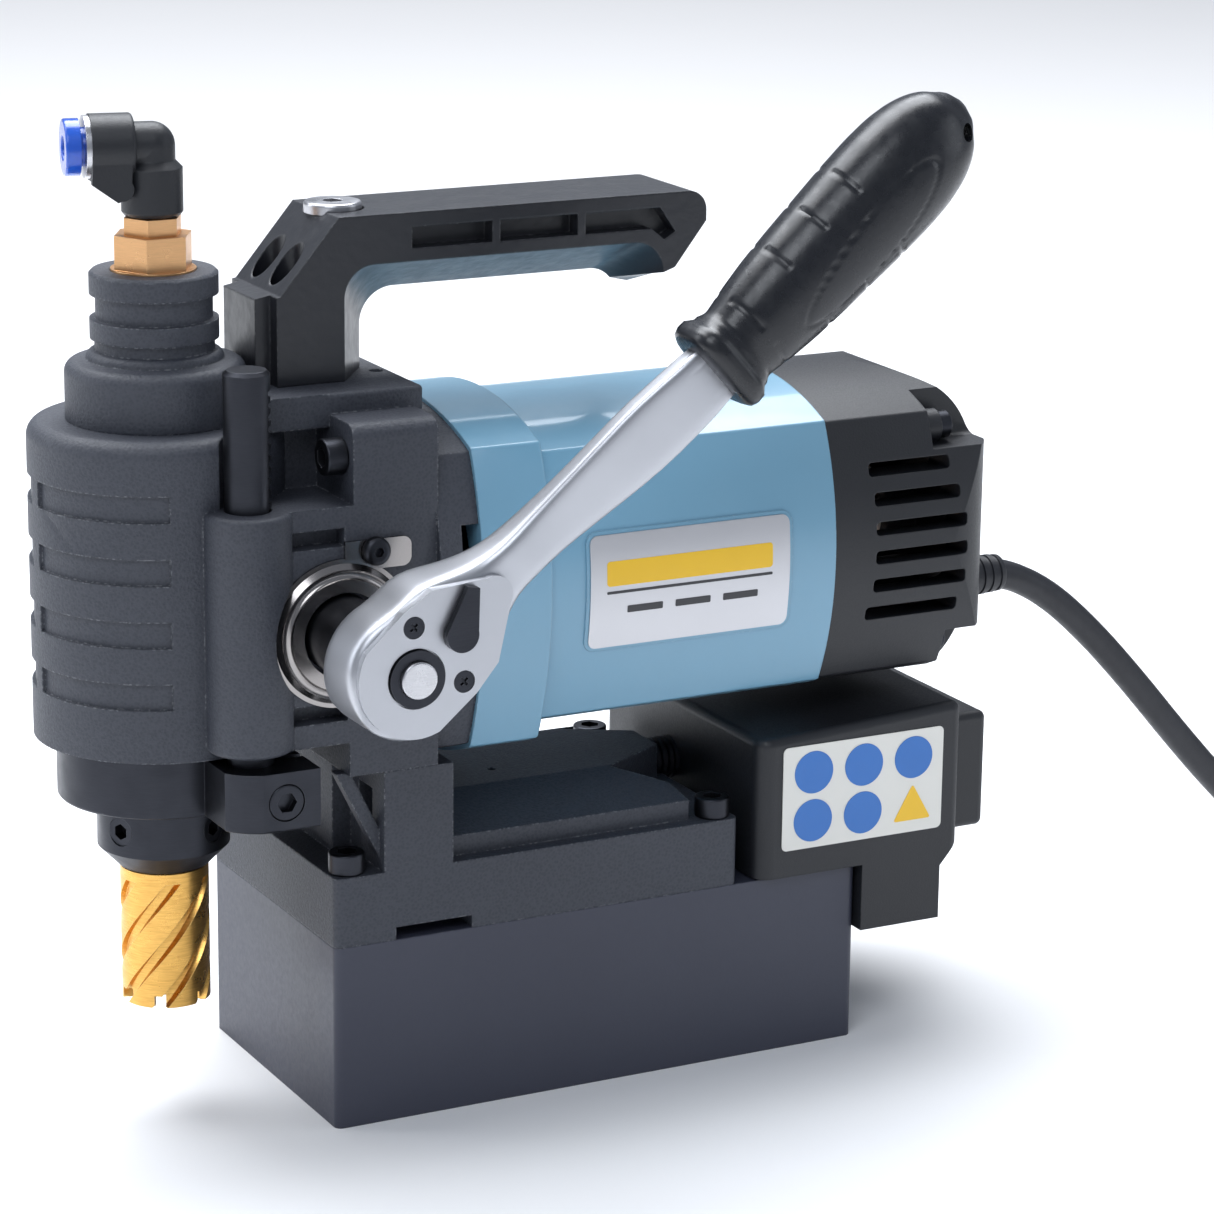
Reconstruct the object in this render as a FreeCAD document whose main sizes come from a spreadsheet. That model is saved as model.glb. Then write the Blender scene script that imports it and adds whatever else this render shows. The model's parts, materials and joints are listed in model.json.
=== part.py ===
"""Magnetic drill press with a horizontal motor: the whole machine as a parametric document.

The frame has +Z up. The origin is the centre of the magnet's bottom face, +X points to the motor's
cord end and -Y to the side of the feed wrench. Sizes are in millimetres.
"""
import FreeCAD, Part
import math
import os
import Sketcher

os.makedirs("parts", exist_ok=True)
doc = FreeCAD.newDocument("MagneticDrillPress")
V = FreeCAD.Vector

# ---------------------------------------------------------------- driving dimensions

DIMENSIONS = dict(
    magnet_length=164, magnet_width=86.8, magnet_height=52.5,
    base_top=72.3, base_rear=42.7, pad_top=85,
    case_bottom=101, case_top=197.5, plate_top=203, case_rear=51.4,
    spindle_x=114.3, housing_radius=34.7, housing_bottom=108.1, housing_top=195,
    quill_radius=24, quill_bottom=90.5, quill_top=178, collar_radius=28.7,
    rod_x=103.3, rod_y=36.5, rod_radius=6.25, rod_top=213.7,
    tooth_module=1, feed_teeth=36, feed_x=80, feed_z=141.6,
    lay_x=73.05, gear_bottom=182, gear_height=8,
    motor_z=146, motor_half=37.7, motor_bulge=8.3, motor_rear=71, cap_rear=128,
    ring_front=40, ring_rear=19, ring_half_width=39.6, ring_half_height=41.8, ring_z=145.2,
    shaft_radius=8.5, arbor_radius=18.2, arbor_bottom=75.6,
    cutter_radius=12.2, cutter_bottom=30.6, cutter_top=69.8,
    wrench_angle=41.6, wrench_back=70, wrench_face=90, head_radius=17.8, grip_offset=94.5,
    hub_radius=10.8, cover_radius=20.4,
    neck_top=234.8, elbow_z=267.8, barrel_radius=8.7, elbow_turn=12.5,
    handle_half=15.5, handle_top=247.6,
    box_front=48, box_rear=115, box_bottom=53, box_top=98.5, box_near=46, box_far=50,
    cord_diameter=8.8, cord_exit_y=12, cord_exit_z=125, boot_length=21,
)

sheet = doc.addObject("Spreadsheet::Sheet", "Sizes")
for row, (alias, number) in enumerate(DIMENSIONS.items(), start=1):
    sheet.set("A%d" % row, alias.replace("_", " "))
    sheet.set("B%d" % row, str(number))
    sheet.setAlias("B%d" % row, alias)
doc.recompute()


class Size:
    """A length that knows its number and the sheet expression it comes from."""

    def __init__(self, value, text):
        self.value = value
        self.text = text

    def join(self, other, sign, value):
        text = other.text if isinstance(other, Size) else repr(other)
        return Size(value, "(%s %s %s)" % (self.text, sign, text))

    def __add__(self, other):
        return self.join(other, "+", self.value + number_of(other))

    def __sub__(self, other):
        return self.join(other, "-", self.value - number_of(other))

    def __mul__(self, other):
        return self.join(other, "*", self.value * number_of(other))

    def __truediv__(self, other):
        return self.join(other, "/", self.value / number_of(other))

    def __neg__(self):
        return Size(-self.value, "(0 - %s)" % self.text)

    def __radd__(self, other):
        return self + other

    def __rsub__(self, other):
        return -self + other

    def __rmul__(self, other):
        return self * other


def number_of(value):
    return value.value if isinstance(value, Size) else value


def dim(alias):
    return Size(float(sheet.get(alias)), "Sizes." + alias)


def bind(obj, prop, value):
    """Set one property, through the sheet when the value comes from it."""
    if isinstance(value, Size):
        obj.setExpression(prop, value.text)
    elif "." in prop or "[" in prop:
        obj.setExpression(prop, repr(float(value)))
    else:
        setattr(obj, prop, value)


TURNS = {"z": (V(0, 0, 1), 0), "x": (V(0, 1, 0), 90), "y": (V(1, 0, 0), -90)}


def place(obj, at, axis="z"):
    """Put an object at a point, with its own Z along the named axis."""
    turn_axis, angle = TURNS[axis]
    start = V(*[number_of(value) for value in at])
    obj.Placement = FreeCAD.Placement(start, FreeCAD.Rotation(turn_axis, angle))
    for letter, value in zip("xyz", at):
        if isinstance(value, Size):
            bind(obj, ".Placement.Base." + letter, value)
    return obj


# ---------------------------------------------------------------- primitives and booleans

def box(low, high):
    """A block between two corners."""
    obj = doc.addObject("Part::Box", "Block")
    for prop, start, end in zip(("Length", "Width", "Height"), low, high):
        bind(obj, prop, end - start)
    return place(obj, low)


def cylinder(radius, start, length, at=(0, 0), axis="z", angle=360):
    """A round bar along an axis; at holds the two coordinates across it."""
    obj = doc.addObject("Part::Cylinder", "Bar")
    bind(obj, "Radius", radius)
    bind(obj, "Height", length)
    obj.Angle = angle
    spots = {"z": (at[0], at[1], start), "x": (start, at[0], at[1]), "y": (at[0], start, at[1])}
    return place(obj, spots[axis], axis)


def cone(low_radius, high_radius, start, length, at=(0, 0), axis="z"):
    obj = doc.addObject("Part::Cone", "Taper")
    bind(obj, "Radius1", low_radius)
    bind(obj, "Radius2", high_radius)
    bind(obj, "Height", length)
    spots = {"z": (at[0], at[1], start), "x": (start, at[0], at[1]), "y": (at[0], start, at[1])}
    return place(obj, spots[axis], axis)


def prism(sides, across_flats, start, length, at=(0, 0), axis="z"):
    obj = doc.addObject("Part::Prism", "Prism")
    obj.Polygon = sides
    bind(obj, "Circumradius", across_flats / 2 / math.cos(math.pi / sides))
    bind(obj, "Height", length)
    spots = {"z": (at[0], at[1], start), "x": (start, at[0], at[1]), "y": (at[0], start, at[1])}
    return place(obj, spots[axis], axis)


def fuse(*shapes):
    if len(shapes) == 1:
        return shapes[0]
    obj = doc.addObject("Part::MultiFuse", "Union")
    obj.Shapes = list(shapes)
    obj.Refine = True
    return obj


def cut(base, *tools):
    obj = doc.addObject("Part::Cut", "Cut")
    obj.Base = base
    obj.Tool = fuse(*tools)
    obj.Refine = True
    return obj


def group(*shapes):
    """Several like pieces that share a node and stay separate solids."""
    obj = doc.addObject("Part::Compound", "Group")
    obj.Links = list(shapes)
    return obj


def edge_middle(edge):
    return edge.valueAt((edge.FirstParameter + edge.LastParameter) / 2)


def rounded(base, radius, wanted, kind="Part::Fillet"):
    """Round or chamfer the edges for which wanted(edge) is true."""
    doc.recompute()
    chosen = [n for n, edge in enumerate(base.Shape.Edges, start=1) if wanted(edge)]
    if not chosen:
        raise RuntimeError("no edge chosen on " + base.Label)
    obj = doc.addObject(kind, "Softened")
    obj.Base = base
    obj.Edges = [(n, number_of(radius), number_of(radius)) for n in chosen]
    return obj


def is_line_along(edge, axis):
    if not isinstance(edge.Curve, Part.Line):
        return False
    direction = edge.Vertexes[-1].Point - edge.Vertexes[0].Point
    spread = {"x": direction.x, "y": direction.y, "z": direction.z}
    return abs(abs(spread[axis]) - direction.Length) < 1e-6


def at_height(edge, z, slack=0.05):
    return all(abs(point.Point.z - z) < slack for point in edge.Vertexes) and \
        abs(edge_middle(edge).z - z) < slack


# ---------------------------------------------------------------- part-design bodies

def new_body(at=(0, 0, 0)):
    body = doc.addObject("PartDesign::Body", "Body")
    place(body, at)
    return body


def plane_of(body, role):
    return [item for item in body.Origin.OriginFeatures if item.Role == role][0]


def outline(body, role, points, offset=0):
    """A closed sketch: each point is (across, up) or (across, up, radius).

    A radius bends the side that starts at that point: positive bulges to the right of the walk.
    """
    sketch = body.newObject("Sketcher::SketchObject", "Outline")
    sketch.AttachmentSupport = [(plane_of(body, role), "")]
    sketch.MapMode = "FlatFace"
    if number_of(offset):
        sketch.AttachmentOffset = FreeCAD.Placement(V(0, 0, number_of(offset)), FreeCAD.Rotation())
        bind(sketch, ".AttachmentOffset.Base.z", offset)
    spots = [V(number_of(p[0]), number_of(p[1]), 0) for p in points]
    ends = []
    for index, point in enumerate(points):
        start, end = spots[index], spots[(index + 1) % len(spots)]
        if len(point) == 2:
            sketch.addGeometry(Part.LineSegment(start, end), False)
            ends.append((1, 2))
            continue
        radius = number_of(point[2])
        chord = end - start
        rise = math.sqrt(max(radius * radius - chord.Length ** 2 / 4, 0))
        side = V(-chord.y, chord.x, 0).normalize()
        centre = (start + end) / 2 + side * (rise if radius > 0 else -rise)
        first, last = (start, end) if radius > 0 else (end, start)
        begin = math.atan2(first.y - centre.y, first.x - centre.x)
        finish = math.atan2(last.y - centre.y, last.x - centre.x)
        circle = Part.Circle(centre, V(0, 0, 1), abs(radius))
        sketch.addGeometry(Part.ArcOfCircle(circle, begin, finish), False)
        ends.append((1, 2) if radius > 0 else (2, 1))
    for index, point in enumerate(points):
        following = (index + 1) % len(points)
        sketch.addConstraint(Sketcher.Constraint(
            "Coincident", index, ends[index][1], following, ends[following][0]))
    for index, point in enumerate(points):
        for kind, axis_line, value in (("DistanceX", -2, point[0]), ("DistanceY", -1, point[1])):
            number = number_of(value)
            if abs(number) < 1e-9:
                sketch.addConstraint(Sketcher.Constraint(
                    "PointOnObject", index, ends[index][0], axis_line))
                continue
            key = sketch.addConstraint(Sketcher.Constraint(
                kind, -1, 1, index, ends[index][0], number))
            if isinstance(value, Size):
                sketch.setExpression("Constraints[%d]" % key, value.text)
        if len(point) > 2:
            radius = point[2]
            key = sketch.addConstraint(Sketcher.Constraint("Radius", index, abs(number_of(radius))))
            if isinstance(radius, Size):
                text = radius.text if radius.value > 0 else (-radius).text
                sketch.setExpression("Constraints[%d]" % key, text)
    sketch.Visibility = False
    return sketch


def feature(body, kind, sketch, **properties):
    item = body.newObject("PartDesign::" + kind, kind)
    item.Profile = sketch
    for prop, value in properties.items():
        bind(item, prop, value)
    return item


def turned(profile, at=(0, 0, 0)):
    """A turned piece: profile is (radius, height) points about the vertical axis."""
    body = new_body(at)
    sketch = outline(body, "XZ_Plane", profile)
    spin = feature(body, "Revolution", sketch, Angle=360.0)
    spin.ReferenceAxis = (sketch, ["V_Axis"])
    return body


def padded(role, points, length, at=(0, 0, 0), both_ways=False, back=False, offset=0):
    """A piece with one outline all along its length."""
    body = new_body(at)
    sketch = outline(body, role, points, offset)
    pad = feature(body, "Pad", sketch, Length=length)
    pad.Midplane = both_ways
    pad.Reversed = back
    return body


def rectangle(half_width, half_height):
    return [(-half_width, -half_height), (half_width, -half_height),
            (half_width, half_height), (-half_width, half_height)]


def rectangle_between(left, low, right, high):
    return [(left, low), (right, low), (right, high), (left, high)]


def round_square(half_width, half_height, bulge, centre=0):
    """Four bulging sides between four corners."""
    side = (half_height * half_height + bulge * bulge) / (bulge * 2)
    lid = (half_width * half_width + bulge * bulge) / (bulge * 2)
    return [(-half_width, centre - half_height, lid), (half_width, centre - half_height, side),
            (half_width, centre + half_height, lid), (-half_width, centre + half_height, side)]


def socket_screw(head_radius, head_height, shank_radius, shank_length, at, axis, flip=1):
    """A socket-head cap screw: head outward along the axis, hexagon socket, plain shank."""
    x, y, z = at
    along = {"x": x, "y": y, "z": z}[axis]
    across = {"x": (y, z), "y": (x, z), "z": (x, y)}[axis]
    overlap = 0.4

    def run(start, length):
        start, length = start * flip, length * flip
        return (along + min(start, start + length), abs(length))

    start, length = run(0, head_height)
    head = cylinder(head_radius, start, length, across, axis)
    head = rounded(head, head_height / 10.0, lambda edge: not isinstance(edge.Curve, Part.Line))
    start, length = run(-shank_length, shank_length + overlap)
    shank = cylinder(shank_radius, start, length, across, axis)
    start, length = run(head_height / 2.0, head_height)
    socket = prism(6, head_radius * 1.0, start, length, across, axis)
    return cut(fuse(head, shank), socket)


NODES = {}


def node(name, obj):
    """Name a finished piece; its label is also its file name."""
    obj.Label = name
    NODES[name] = obj
    return obj


# ---------------------------------------------------------------- magnet

half_length = dim("magnet_length") / 2
half_width = dim("magnet_width") / 2
magnet_top = dim("magnet_height")
LEAD_AT = (8, 75.5)
SCREW_SPOTS = [(-76.3, -37.9), (-76.3, 37.9), (37.0, -37.9), (37.0, 37.9)]
POT_OUTER = (70, 31)
POT_INNER = (55, 16)
POT_DEPTH = 34


def pot_ring(low, high, slack):
    """The ring-shaped space between the magnet's core and its outer wall."""
    outer = box((slack - POT_OUTER[0], slack - POT_OUTER[1], low),
                (POT_OUTER[0] - slack, POT_OUTER[1] - slack, high))
    inner = box((-POT_INNER[0] - slack, -POT_INNER[1] - slack, low - 1),
                (POT_INNER[0] + slack, POT_INNER[1] + slack, high + 1))
    return cut(outer, inner)


def make_magnet():
    body = padded("XY_Plane", rectangle(half_length, half_width), magnet_top)
    doc.recompute()
    pad = body.Tip
    upright = ["Edge%d" % n for n, edge in enumerate(pad.Shape.Edges, start=1)
               if is_line_along(edge, "z")]
    corner = body.newObject("PartDesign::Fillet", "Corners")
    corner.Base = (pad, upright)
    corner.Radius = 2.2
    holes = [cylinder(3.0, magnet_top - 15, 20, spot) for spot in SCREW_SPOTS]
    node("magnet_block", cut(body, pot_ring(-1, POT_DEPTH, 0), *holes))
    coil = rounded(pot_ring(12, POT_DEPTH - 0.5, 0.3), 3.0,
                   lambda edge: is_line_along(edge, "z") and abs(edge_middle(edge).x) > 60)
    node("magnet_coil", coil)
    node("magnet_resin", pot_ring(0.3, 11.8, 0))


# ---------------------------------------------------------------- base casting with its column

def make_base():
    top = dim("base_top")
    rear = dim("base_rear")
    plate = box((-half_length, -half_width, magnet_top), (rear, half_width, top))
    plate = rounded(plate, 2.2, lambda edge: is_line_along(edge, "z"))
    ledge, slope_foot, slope_head = 38.6, 78, dim("pad_top")
    ridge = [(-ledge, top - 1), (ledge, top - 1), (ledge, slope_foot), (19, slope_head),
             (-19, slope_head), (-ledge, slope_foot)]
    pad = padded("YZ_Plane", ridge, 92, at=(-56.5, 0, 0))
    pad = cut(pad, *[corner_wedge(side) for side in (-1, 1)])
    leg_front, leg_rear, case_low = -67.4, -46.8, dim("case_bottom")
    column = box((leg_front, -half_width, top - 1), (leg_rear, half_width, case_low))
    web = box((-73, -21, top - 1), (leg_front + 1, 21, case_low))
    parts = [plate, pad, column, web]
    for side in (-1, 1):
        rib = padded("XZ_Plane", [(-67.0, 75), (-67.0, 83), (-76, 101), (-80, 101)], 4,
                     at=(0, side * 38, 0), both_ways=True)
        parts.append(rib)
    body = fuse(*parts)
    tools = [cylinder(3.3, magnet_top - 1, 30, spot) for spot in SCREW_SPOTS]
    for side in (-1, 1):
        low, high = sorted((side * 31.5, side * 45))
        tools.append(box((-64, low, magnet_top - 1), (-41, high, magnet_top + 3.6)))
        pocket = padded("XZ_Plane", [(-68, 84), (-57.5, 76), (-55, 80), (-55, 95), (-58, 97.5),
                                     (-68, 94)], 9, at=(0, side * 31, 0), both_ways=True)
        tools.append(pocket)
    tools.append(cylinder(1.3, dim("pad_top") - 8, 10, (-18, -8)))
    tools.append(cylinder(6.3, 35.5, 10, LEAD_AT, "x"))
    tools.append(motor_flange())
    node("base_casting", cut(body, *tools))
    screws = [socket_screw(5, 6, 2.9, 30, (x, y, top.value), "z") for x, y in SCREW_SPOTS]
    node("base_screws", group(*screws))


def corner_wedge(side):
    """The slanting cut at each rear corner of the raised pad, clear of the rear screws."""
    points = [(14, side * 19.5), (40, side * 5), (40, side * 45), (30.5, side * 45), (27.5, side * 30)]
    if side > 0:
        points = points[::-1]
    return padded("XY_Plane", points, 30, at=(0, 0, dim("base_top").value))


# ---------------------------------------------------------------- main casting: case and housing

spindle_at = (-dim("spindle_x"), 0)
lay_at = (-dim("lay_x"), 0)
rod_at = (-dim("rod_x"), -dim("rod_y"))
feed_at = (-dim("feed_x"), dim("feed_z"))
motor_at = (0, dim("motor_z"))


def motor_flange():
    """The round-square flange that carries the motor; the column is relieved to its shape."""
    return padded("YZ_Plane", round_square(38.6, 40.8, dim("motor_bulge"), dim("ring_z")), 11.9,
                  at=(-dim("case_rear") - 0.5, 0, 0))


def grip_grooves():
    """Four shallow grooves on each side of the spindle housing."""
    grooves = []
    for level in range(4):
        for start_angle in (183.5, 106.0):
            low = 122.8 + 17 * level
            ring = cylinder(dim("housing_radius") + 2, low, 7.1, spindle_at, angle=70.5)
            ring.Placement.Rotation = FreeCAD.Rotation(V(0, 0, 1), start_angle)
            core = cylinder(dim("housing_radius") - 1, low - 1, 9, spindle_at)
            grooves.append(cut(ring, core))
    return grooves


def make_casting():
    case_rear = -dim("case_rear")
    low, high, plate_high = dim("case_bottom"), dim("case_top"), dim("plate_top")
    case = box((-98, -half_width, low), (case_rear, half_width, high))
    case = rounded(case, 4, lambda edge: is_line_along(edge, "x") and edge_middle(edge).z > 190)
    recesses = [box((-110, -60, 176), (-76, -19, 215)), box((-110, 19, 176), (-76, 60, 215))]
    underside = box((-110, -60, 95), (-77.5, 60, 110.6))
    case = cut(case, underside, *recesses)
    plate = box((-96, -28, high - 1), (-48.5, 28, plate_high))
    plate = rounded(plate, 1.2, lambda edge: at_height(edge, plate_high.value) or
                    (is_line_along(edge, "z") and edge_middle(edge).x > -60))
    front_plate = box((-96, -28, 194), (-76, 28, plate_high))
    housing = cylinder(dim("housing_radius"), dim("housing_bottom"),
                       dim("housing_top") - dim("housing_bottom"), spindle_at)
    housing = rounded(housing, 4.5, lambda edge: at_height(edge, dim("housing_top").value))
    boss = cylinder(12, 110.6, 65.4, rod_at)
    boss = rounded(boss, 1.5, lambda edge: at_height(edge, 176) or at_height(edge, 110.6))
    band = box((-dim("rod_x"), -half_width, 110.6), (-77, -20, 176))
    bridge = box((-98, -24, high - 3), (-89, 24, plate_high))
    body = fuse(case, plate, front_plate, motor_flange(), housing, boss, band, bridge)
    tools = [
        cylinder(dim("quill_radius") + 0.05, 95, 86.5, spindle_at),
        cylinder(30, 181, 10.5, spindle_at),
        cylinder(17.2, 181, 10.5, lay_at),
        box((-dim("spindle_x"), -14, 181), (-dim("lay_x"), 14, 191.5)),
        cylinder(14.5, 190, 20, spindle_at),
        cylinder(24.3, 195, 20, spindle_at),
        cylinder(11, 171, 7, lay_at),
        cylinder(9, 177, 5, lay_at),
        cylinder(11, 191, 6.5, lay_at),
        box((-88, -18, 126), (-55, 18, 171.5)),
        cylinder(11, -56, 6, motor_at, "x"),
        cylinder(13, -52, 8, motor_at, "x"),
        cylinder(24, -44.5, 10, motor_at, "x"),
        cylinder(dim("rod_radius") + 0.05, 100, 80, rod_at),
        cylinder(7.3, 176, 30, rod_at),
        cylinder(19.4, -43.5, 15, feed_at, "y"),
        cylinder(dim("cover_radius") + 0.15, -50, 6.6, feed_at, "y"),
        box((-94, -44, 165.2), (-78.7, -38, 170.2)),
        box((-95, -44, 117.1), (-78, -38, 122.3)),
        box((-45.2, -50, 158), (-38, -30, 167.5)),
        cylinder(2.0, 198, 10, (-52.5, -6)),
        cylinder(4.05, 199, 10, (-62.5, 0)),
        cylinder(2.05, -44, 9, (-70.5, 163.5), "y"),
    ]
    for side in (-1, 1):
        tools.append(cylinder(3.05, -77, 15, (side * 36, 188), "x"))
    casting = cut(body, *(tools + grip_grooves()))
    node("main_casting", casting)
    screws = [socket_screw(5, 6, 3.0, 10, (-76, side * 36, 188), "x", flip=-1) for side in (-1, 1)]
    node("side_screws", group(*screws))


def make_top_cover():
    """The stepped cap over the spindle: bearing seat below, ringed neck above."""
    top = dim("neck_top")
    profile = [(24.2, 195), (21.0, 195), (21.0, 204.5), (9.3, 204.5), (9.3, 222), (11.5, 224),
               (11.5, top), (16.4, top), (17.2, top - 0.8), (17.2, 228.6), (15.6, 228.6), (15.6, 222),
               (17.2, 222), (17.2, 216.7), (16, 216.7), (16, 213.6, -2.4), (18.4, 211.2),
               (21.2, 210.8, -3.2), (24.2, 207.6)]
    node("top_cover", turned(profile, (-dim("spindle_x"), 0, 0)))


# ---------------------------------------------------------------- carrying handle

def make_handle():
    half = dim("handle_half")
    top = dim("handle_top")
    base = dim("plate_top")

    def side(leg_rear, inner_radius, under, hook):
        """One side outline; the middle one bulges toward the hand."""
        bend_x, bend_radius, bend_end, tip = hook
        return [(-90, base), (leg_rear, base), (leg_rear, under - inner_radius, -inner_radius),
                (leg_rear + inner_radius, under), (bend_x, under, -bend_radius), bend_end,
                tip, (44.2, 239), (44.2, 242, 5.6), (38.6, top), (-67.5, top),
                (-84.5, 227.5), (-90, 226.5)]

    body = new_body()
    outer = side(-66, 9.0, 234.3, (22, 9.0, (31, 225.3), (34.5, 226.5)))
    middle = side(-54.8, 10.0, 224.9, (16, 8.0, (22, 221.9), (27.5, 220.6)))
    first = outline(body, "XZ_Plane", outer, half)
    second = outline(body, "XZ_Plane", middle)
    third = outline(body, "XZ_Plane", outer, -half)
    loft = body.newObject("PartDesign::AdditiveLoft", "Grip")
    loft.Profile = first
    loft.Sections = [(second, [""]), (third, [""])]
    loft.Ruled = True
    tools = []
    for mirror in (-1, 1):
        low, high = sorted((mirror * (half.value - 4.6), mirror * 20))
        tools.append(box((-100, low, 200), (-85.6, high, 240)))
        low, high = sorted((mirror * (half.value - 5), mirror * 20))
        slot = padded("XZ_Plane", [(-46, 237.8), (27, 237.8), (31, 234.6), (34.5, 236.6),
                                   (31.6, 240.6), (29.6, 243.6), (-46, 243.6)], 5.2,
                      at=(0, mirror * (half.value - 2.4), 0), both_ways=True)
        ribs = [box((x, low - 1, 236), (x + 2.4, high + 1, 245)) for x in (-22, 4)]
        tools.append(cut(slot, *ribs))
    for y in (-6.2, 6.2):
        window = cylinder(4.6, 200, 60, (-78.5, y))
        tools.append(cut(window, box((-100, -20, 190), (-60, 20, 219))))
    tools.append(cylinder(8.6, top - 1.0, 6, (-62.5, 0)))
    tools.append(cylinder(4.1, 200, 60, (-62.5, 0)))
    node("carrying_handle", cut(body, *tools))
    bolt_top = cylinder(7.9, top - 1.0, 3.0, (-62.5, 0))
    bolt_top = rounded(bolt_top, 0.9, lambda edge: at_height(edge, top.value + 2.0))
    shank = cylinder(4.0, 199.5, 48, (-62.5, 0))
    socket = prism(6, 5, top.value - 2.5, 6, (-62.5, 0))
    node("handle_bolt", cut(fuse(bolt_top, shank), socket))


# ---------------------------------------------------------------- motor

CORNERS = [(y, z) for y in (-31.5, 31.5) for z in (-31.5, 31.5)]


def make_motor_housing():
    half, bulge, middle = dim("motor_half"), dim("motor_bulge"), dim("motor_z")
    front, ring_rear, rear = -dim("ring_front"), -dim("ring_rear"), dim("motor_rear")
    barrel = padded("YZ_Plane", round_square(half, half, bulge, middle), rear + dim("ring_front"),
                    at=(front, 0, 0))
    ring_shape = round_square(dim("ring_half_width"), dim("ring_half_height"), bulge, dim("ring_z"))
    ring = padded("YZ_Plane", ring_shape, ring_rear + dim("ring_front"), at=(front, 0, 0))
    shell = fuse(barrel, ring)
    shell = rounded(shell, 1.2, lambda edge: is_line_along(edge, "x") and abs(edge_middle(edge).y) > 30)
    shell = rounded(shell, 0.8, lambda edge: abs(edge_middle(edge).x + dim("ring_rear").value) < 0.01 and
                    edge.BoundBox.XLength < 0.01 and is_outer_ring(edge))
    bore = cylinder(41, -41, 113, motor_at, "x")
    holes = [cylinder(2.3, 60, 12, (y, middle.value + z), "x") for y, z in CORNERS]
    node("motor_housing", cut(shell, bore, *holes))


def is_outer_ring(edge):
    point = edge_middle(edge)
    return abs(point.y) > 41 or abs(point.z - 145.5) > 44


def round_end(half, radius):
    """Outline of the cap seen square on: straight walls, wide rounds and a slightly bowed rear."""
    front, rear = dim("motor_rear").value - 1, dim("cap_rear").value
    bow = half - radius
    shoulder = rear - 1.0
    return [(front, -half), (shoulder - radius, -half, radius), (shoulder, -bow, bow * bow / 2 + 0.5),
            (shoulder, bow, radius), (shoulder - radius, half), (front, half)]


def make_end_cap():
    half, bulge, middle = dim("motor_half"), dim("motor_bulge"), dim("motor_z")
    front, rear = dim("motor_rear"), dim("cap_rear")
    body = padded("YZ_Plane", round_square(half - 0.4, half - 0.4, bulge, middle), rear - front,
                  at=(front, 0, 0))
    body = rounded(body, 1.6, lambda edge: is_line_along(edge, "x") and abs(edge_middle(edge).y) > 30)
    reach = (half + bulge).value - 0.4
    side_view = padded("XZ_Plane", round_end(reach, 27), 110, at=(0, 0, middle), both_ways=True)
    plan_view = padded("XY_Plane", round_end(reach, 17), 110, at=(0, 0, middle), both_ways=True)
    common = doc.addObject("Part::MultiCommon", "RoundedCap")
    common.Shapes = [body, side_view, plan_view]
    tools = []
    screws = []
    posts = []
    for y, z in CORNERS:
        start = 105 if z > 0 else 111
        notch = box((start, -16.5, -16.5), (140, 16.5, 16.5))
        centre = V(0, math.copysign(43.5, y), middle.value + math.copysign(43.5, z))
        notch.Placement = FreeCAD.Placement(notch.Placement.Base + centre, FreeCAD.Rotation())
        tools.append(rounded(notch, 3, lambda edge: is_line_along(edge, "x")))
        spot = (y, middle.value + z)
        posts.append(cylinder(4.9, front + 0.5, 111 - front.value - 0.5, spot, "x"))
        screws.append(socket_screw(4, 4, 2.2, 50, (111, spot[0], spot[1]), "x"))
    room = cylinder(39.5, 70, 47, motor_at, "x")
    room = rounded(room, 12, lambda edge: edge_middle(edge).x > 110 and not is_line_along(edge, "x"))
    seat_wall = cut(cylinder(14.5, 107, 13, motor_at, "x"), cylinder(11, 107, 7, motor_at, "x"),
                    cylinder(6, 107, 13, motor_at, "x"))
    slot_ends = [(82.5, 113), (84.2, 115), (84.5, 115.5), (84.5, 115), (84.2, 112.6), (83.0, 109.8)]
    for side in (-1, 1):
        low, high = sorted((side * 30, side * 60))
        for level, (begin, end) in enumerate(slot_ends):
            z = 125.6 + 8.35 * level
            slot = box((begin, low, z), (end, high, z + 3.9))
            tools.append(rounded(slot, 1.2, lambda edge: is_line_along(edge, "y")))
    tools.append(cylinder(6.0, 112, 20, (-dim("cord_exit_y"), dim("cord_exit_z")), "x"))
    shell = fuse(cut(common, room, *tools), *posts)
    bores = [cylinder(2.3, 70, 45, (y, middle.value + z), "x") for y, z in CORNERS]
    node("end_cap", fuse(cut(shell, *bores), seat_wall))
    node("end_cap_screws", group(*screws))


def about_motor(obj, degrees):
    """Turn a piece drawn about the X axis and lift it onto the motor's axis."""
    lift = FreeCAD.Placement(V(0, 0, dim("motor_z").value), FreeCAD.Rotation(V(1, 0, 0), degrees))
    obj.Placement = lift.multiply(obj.Placement)
    return obj


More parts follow.
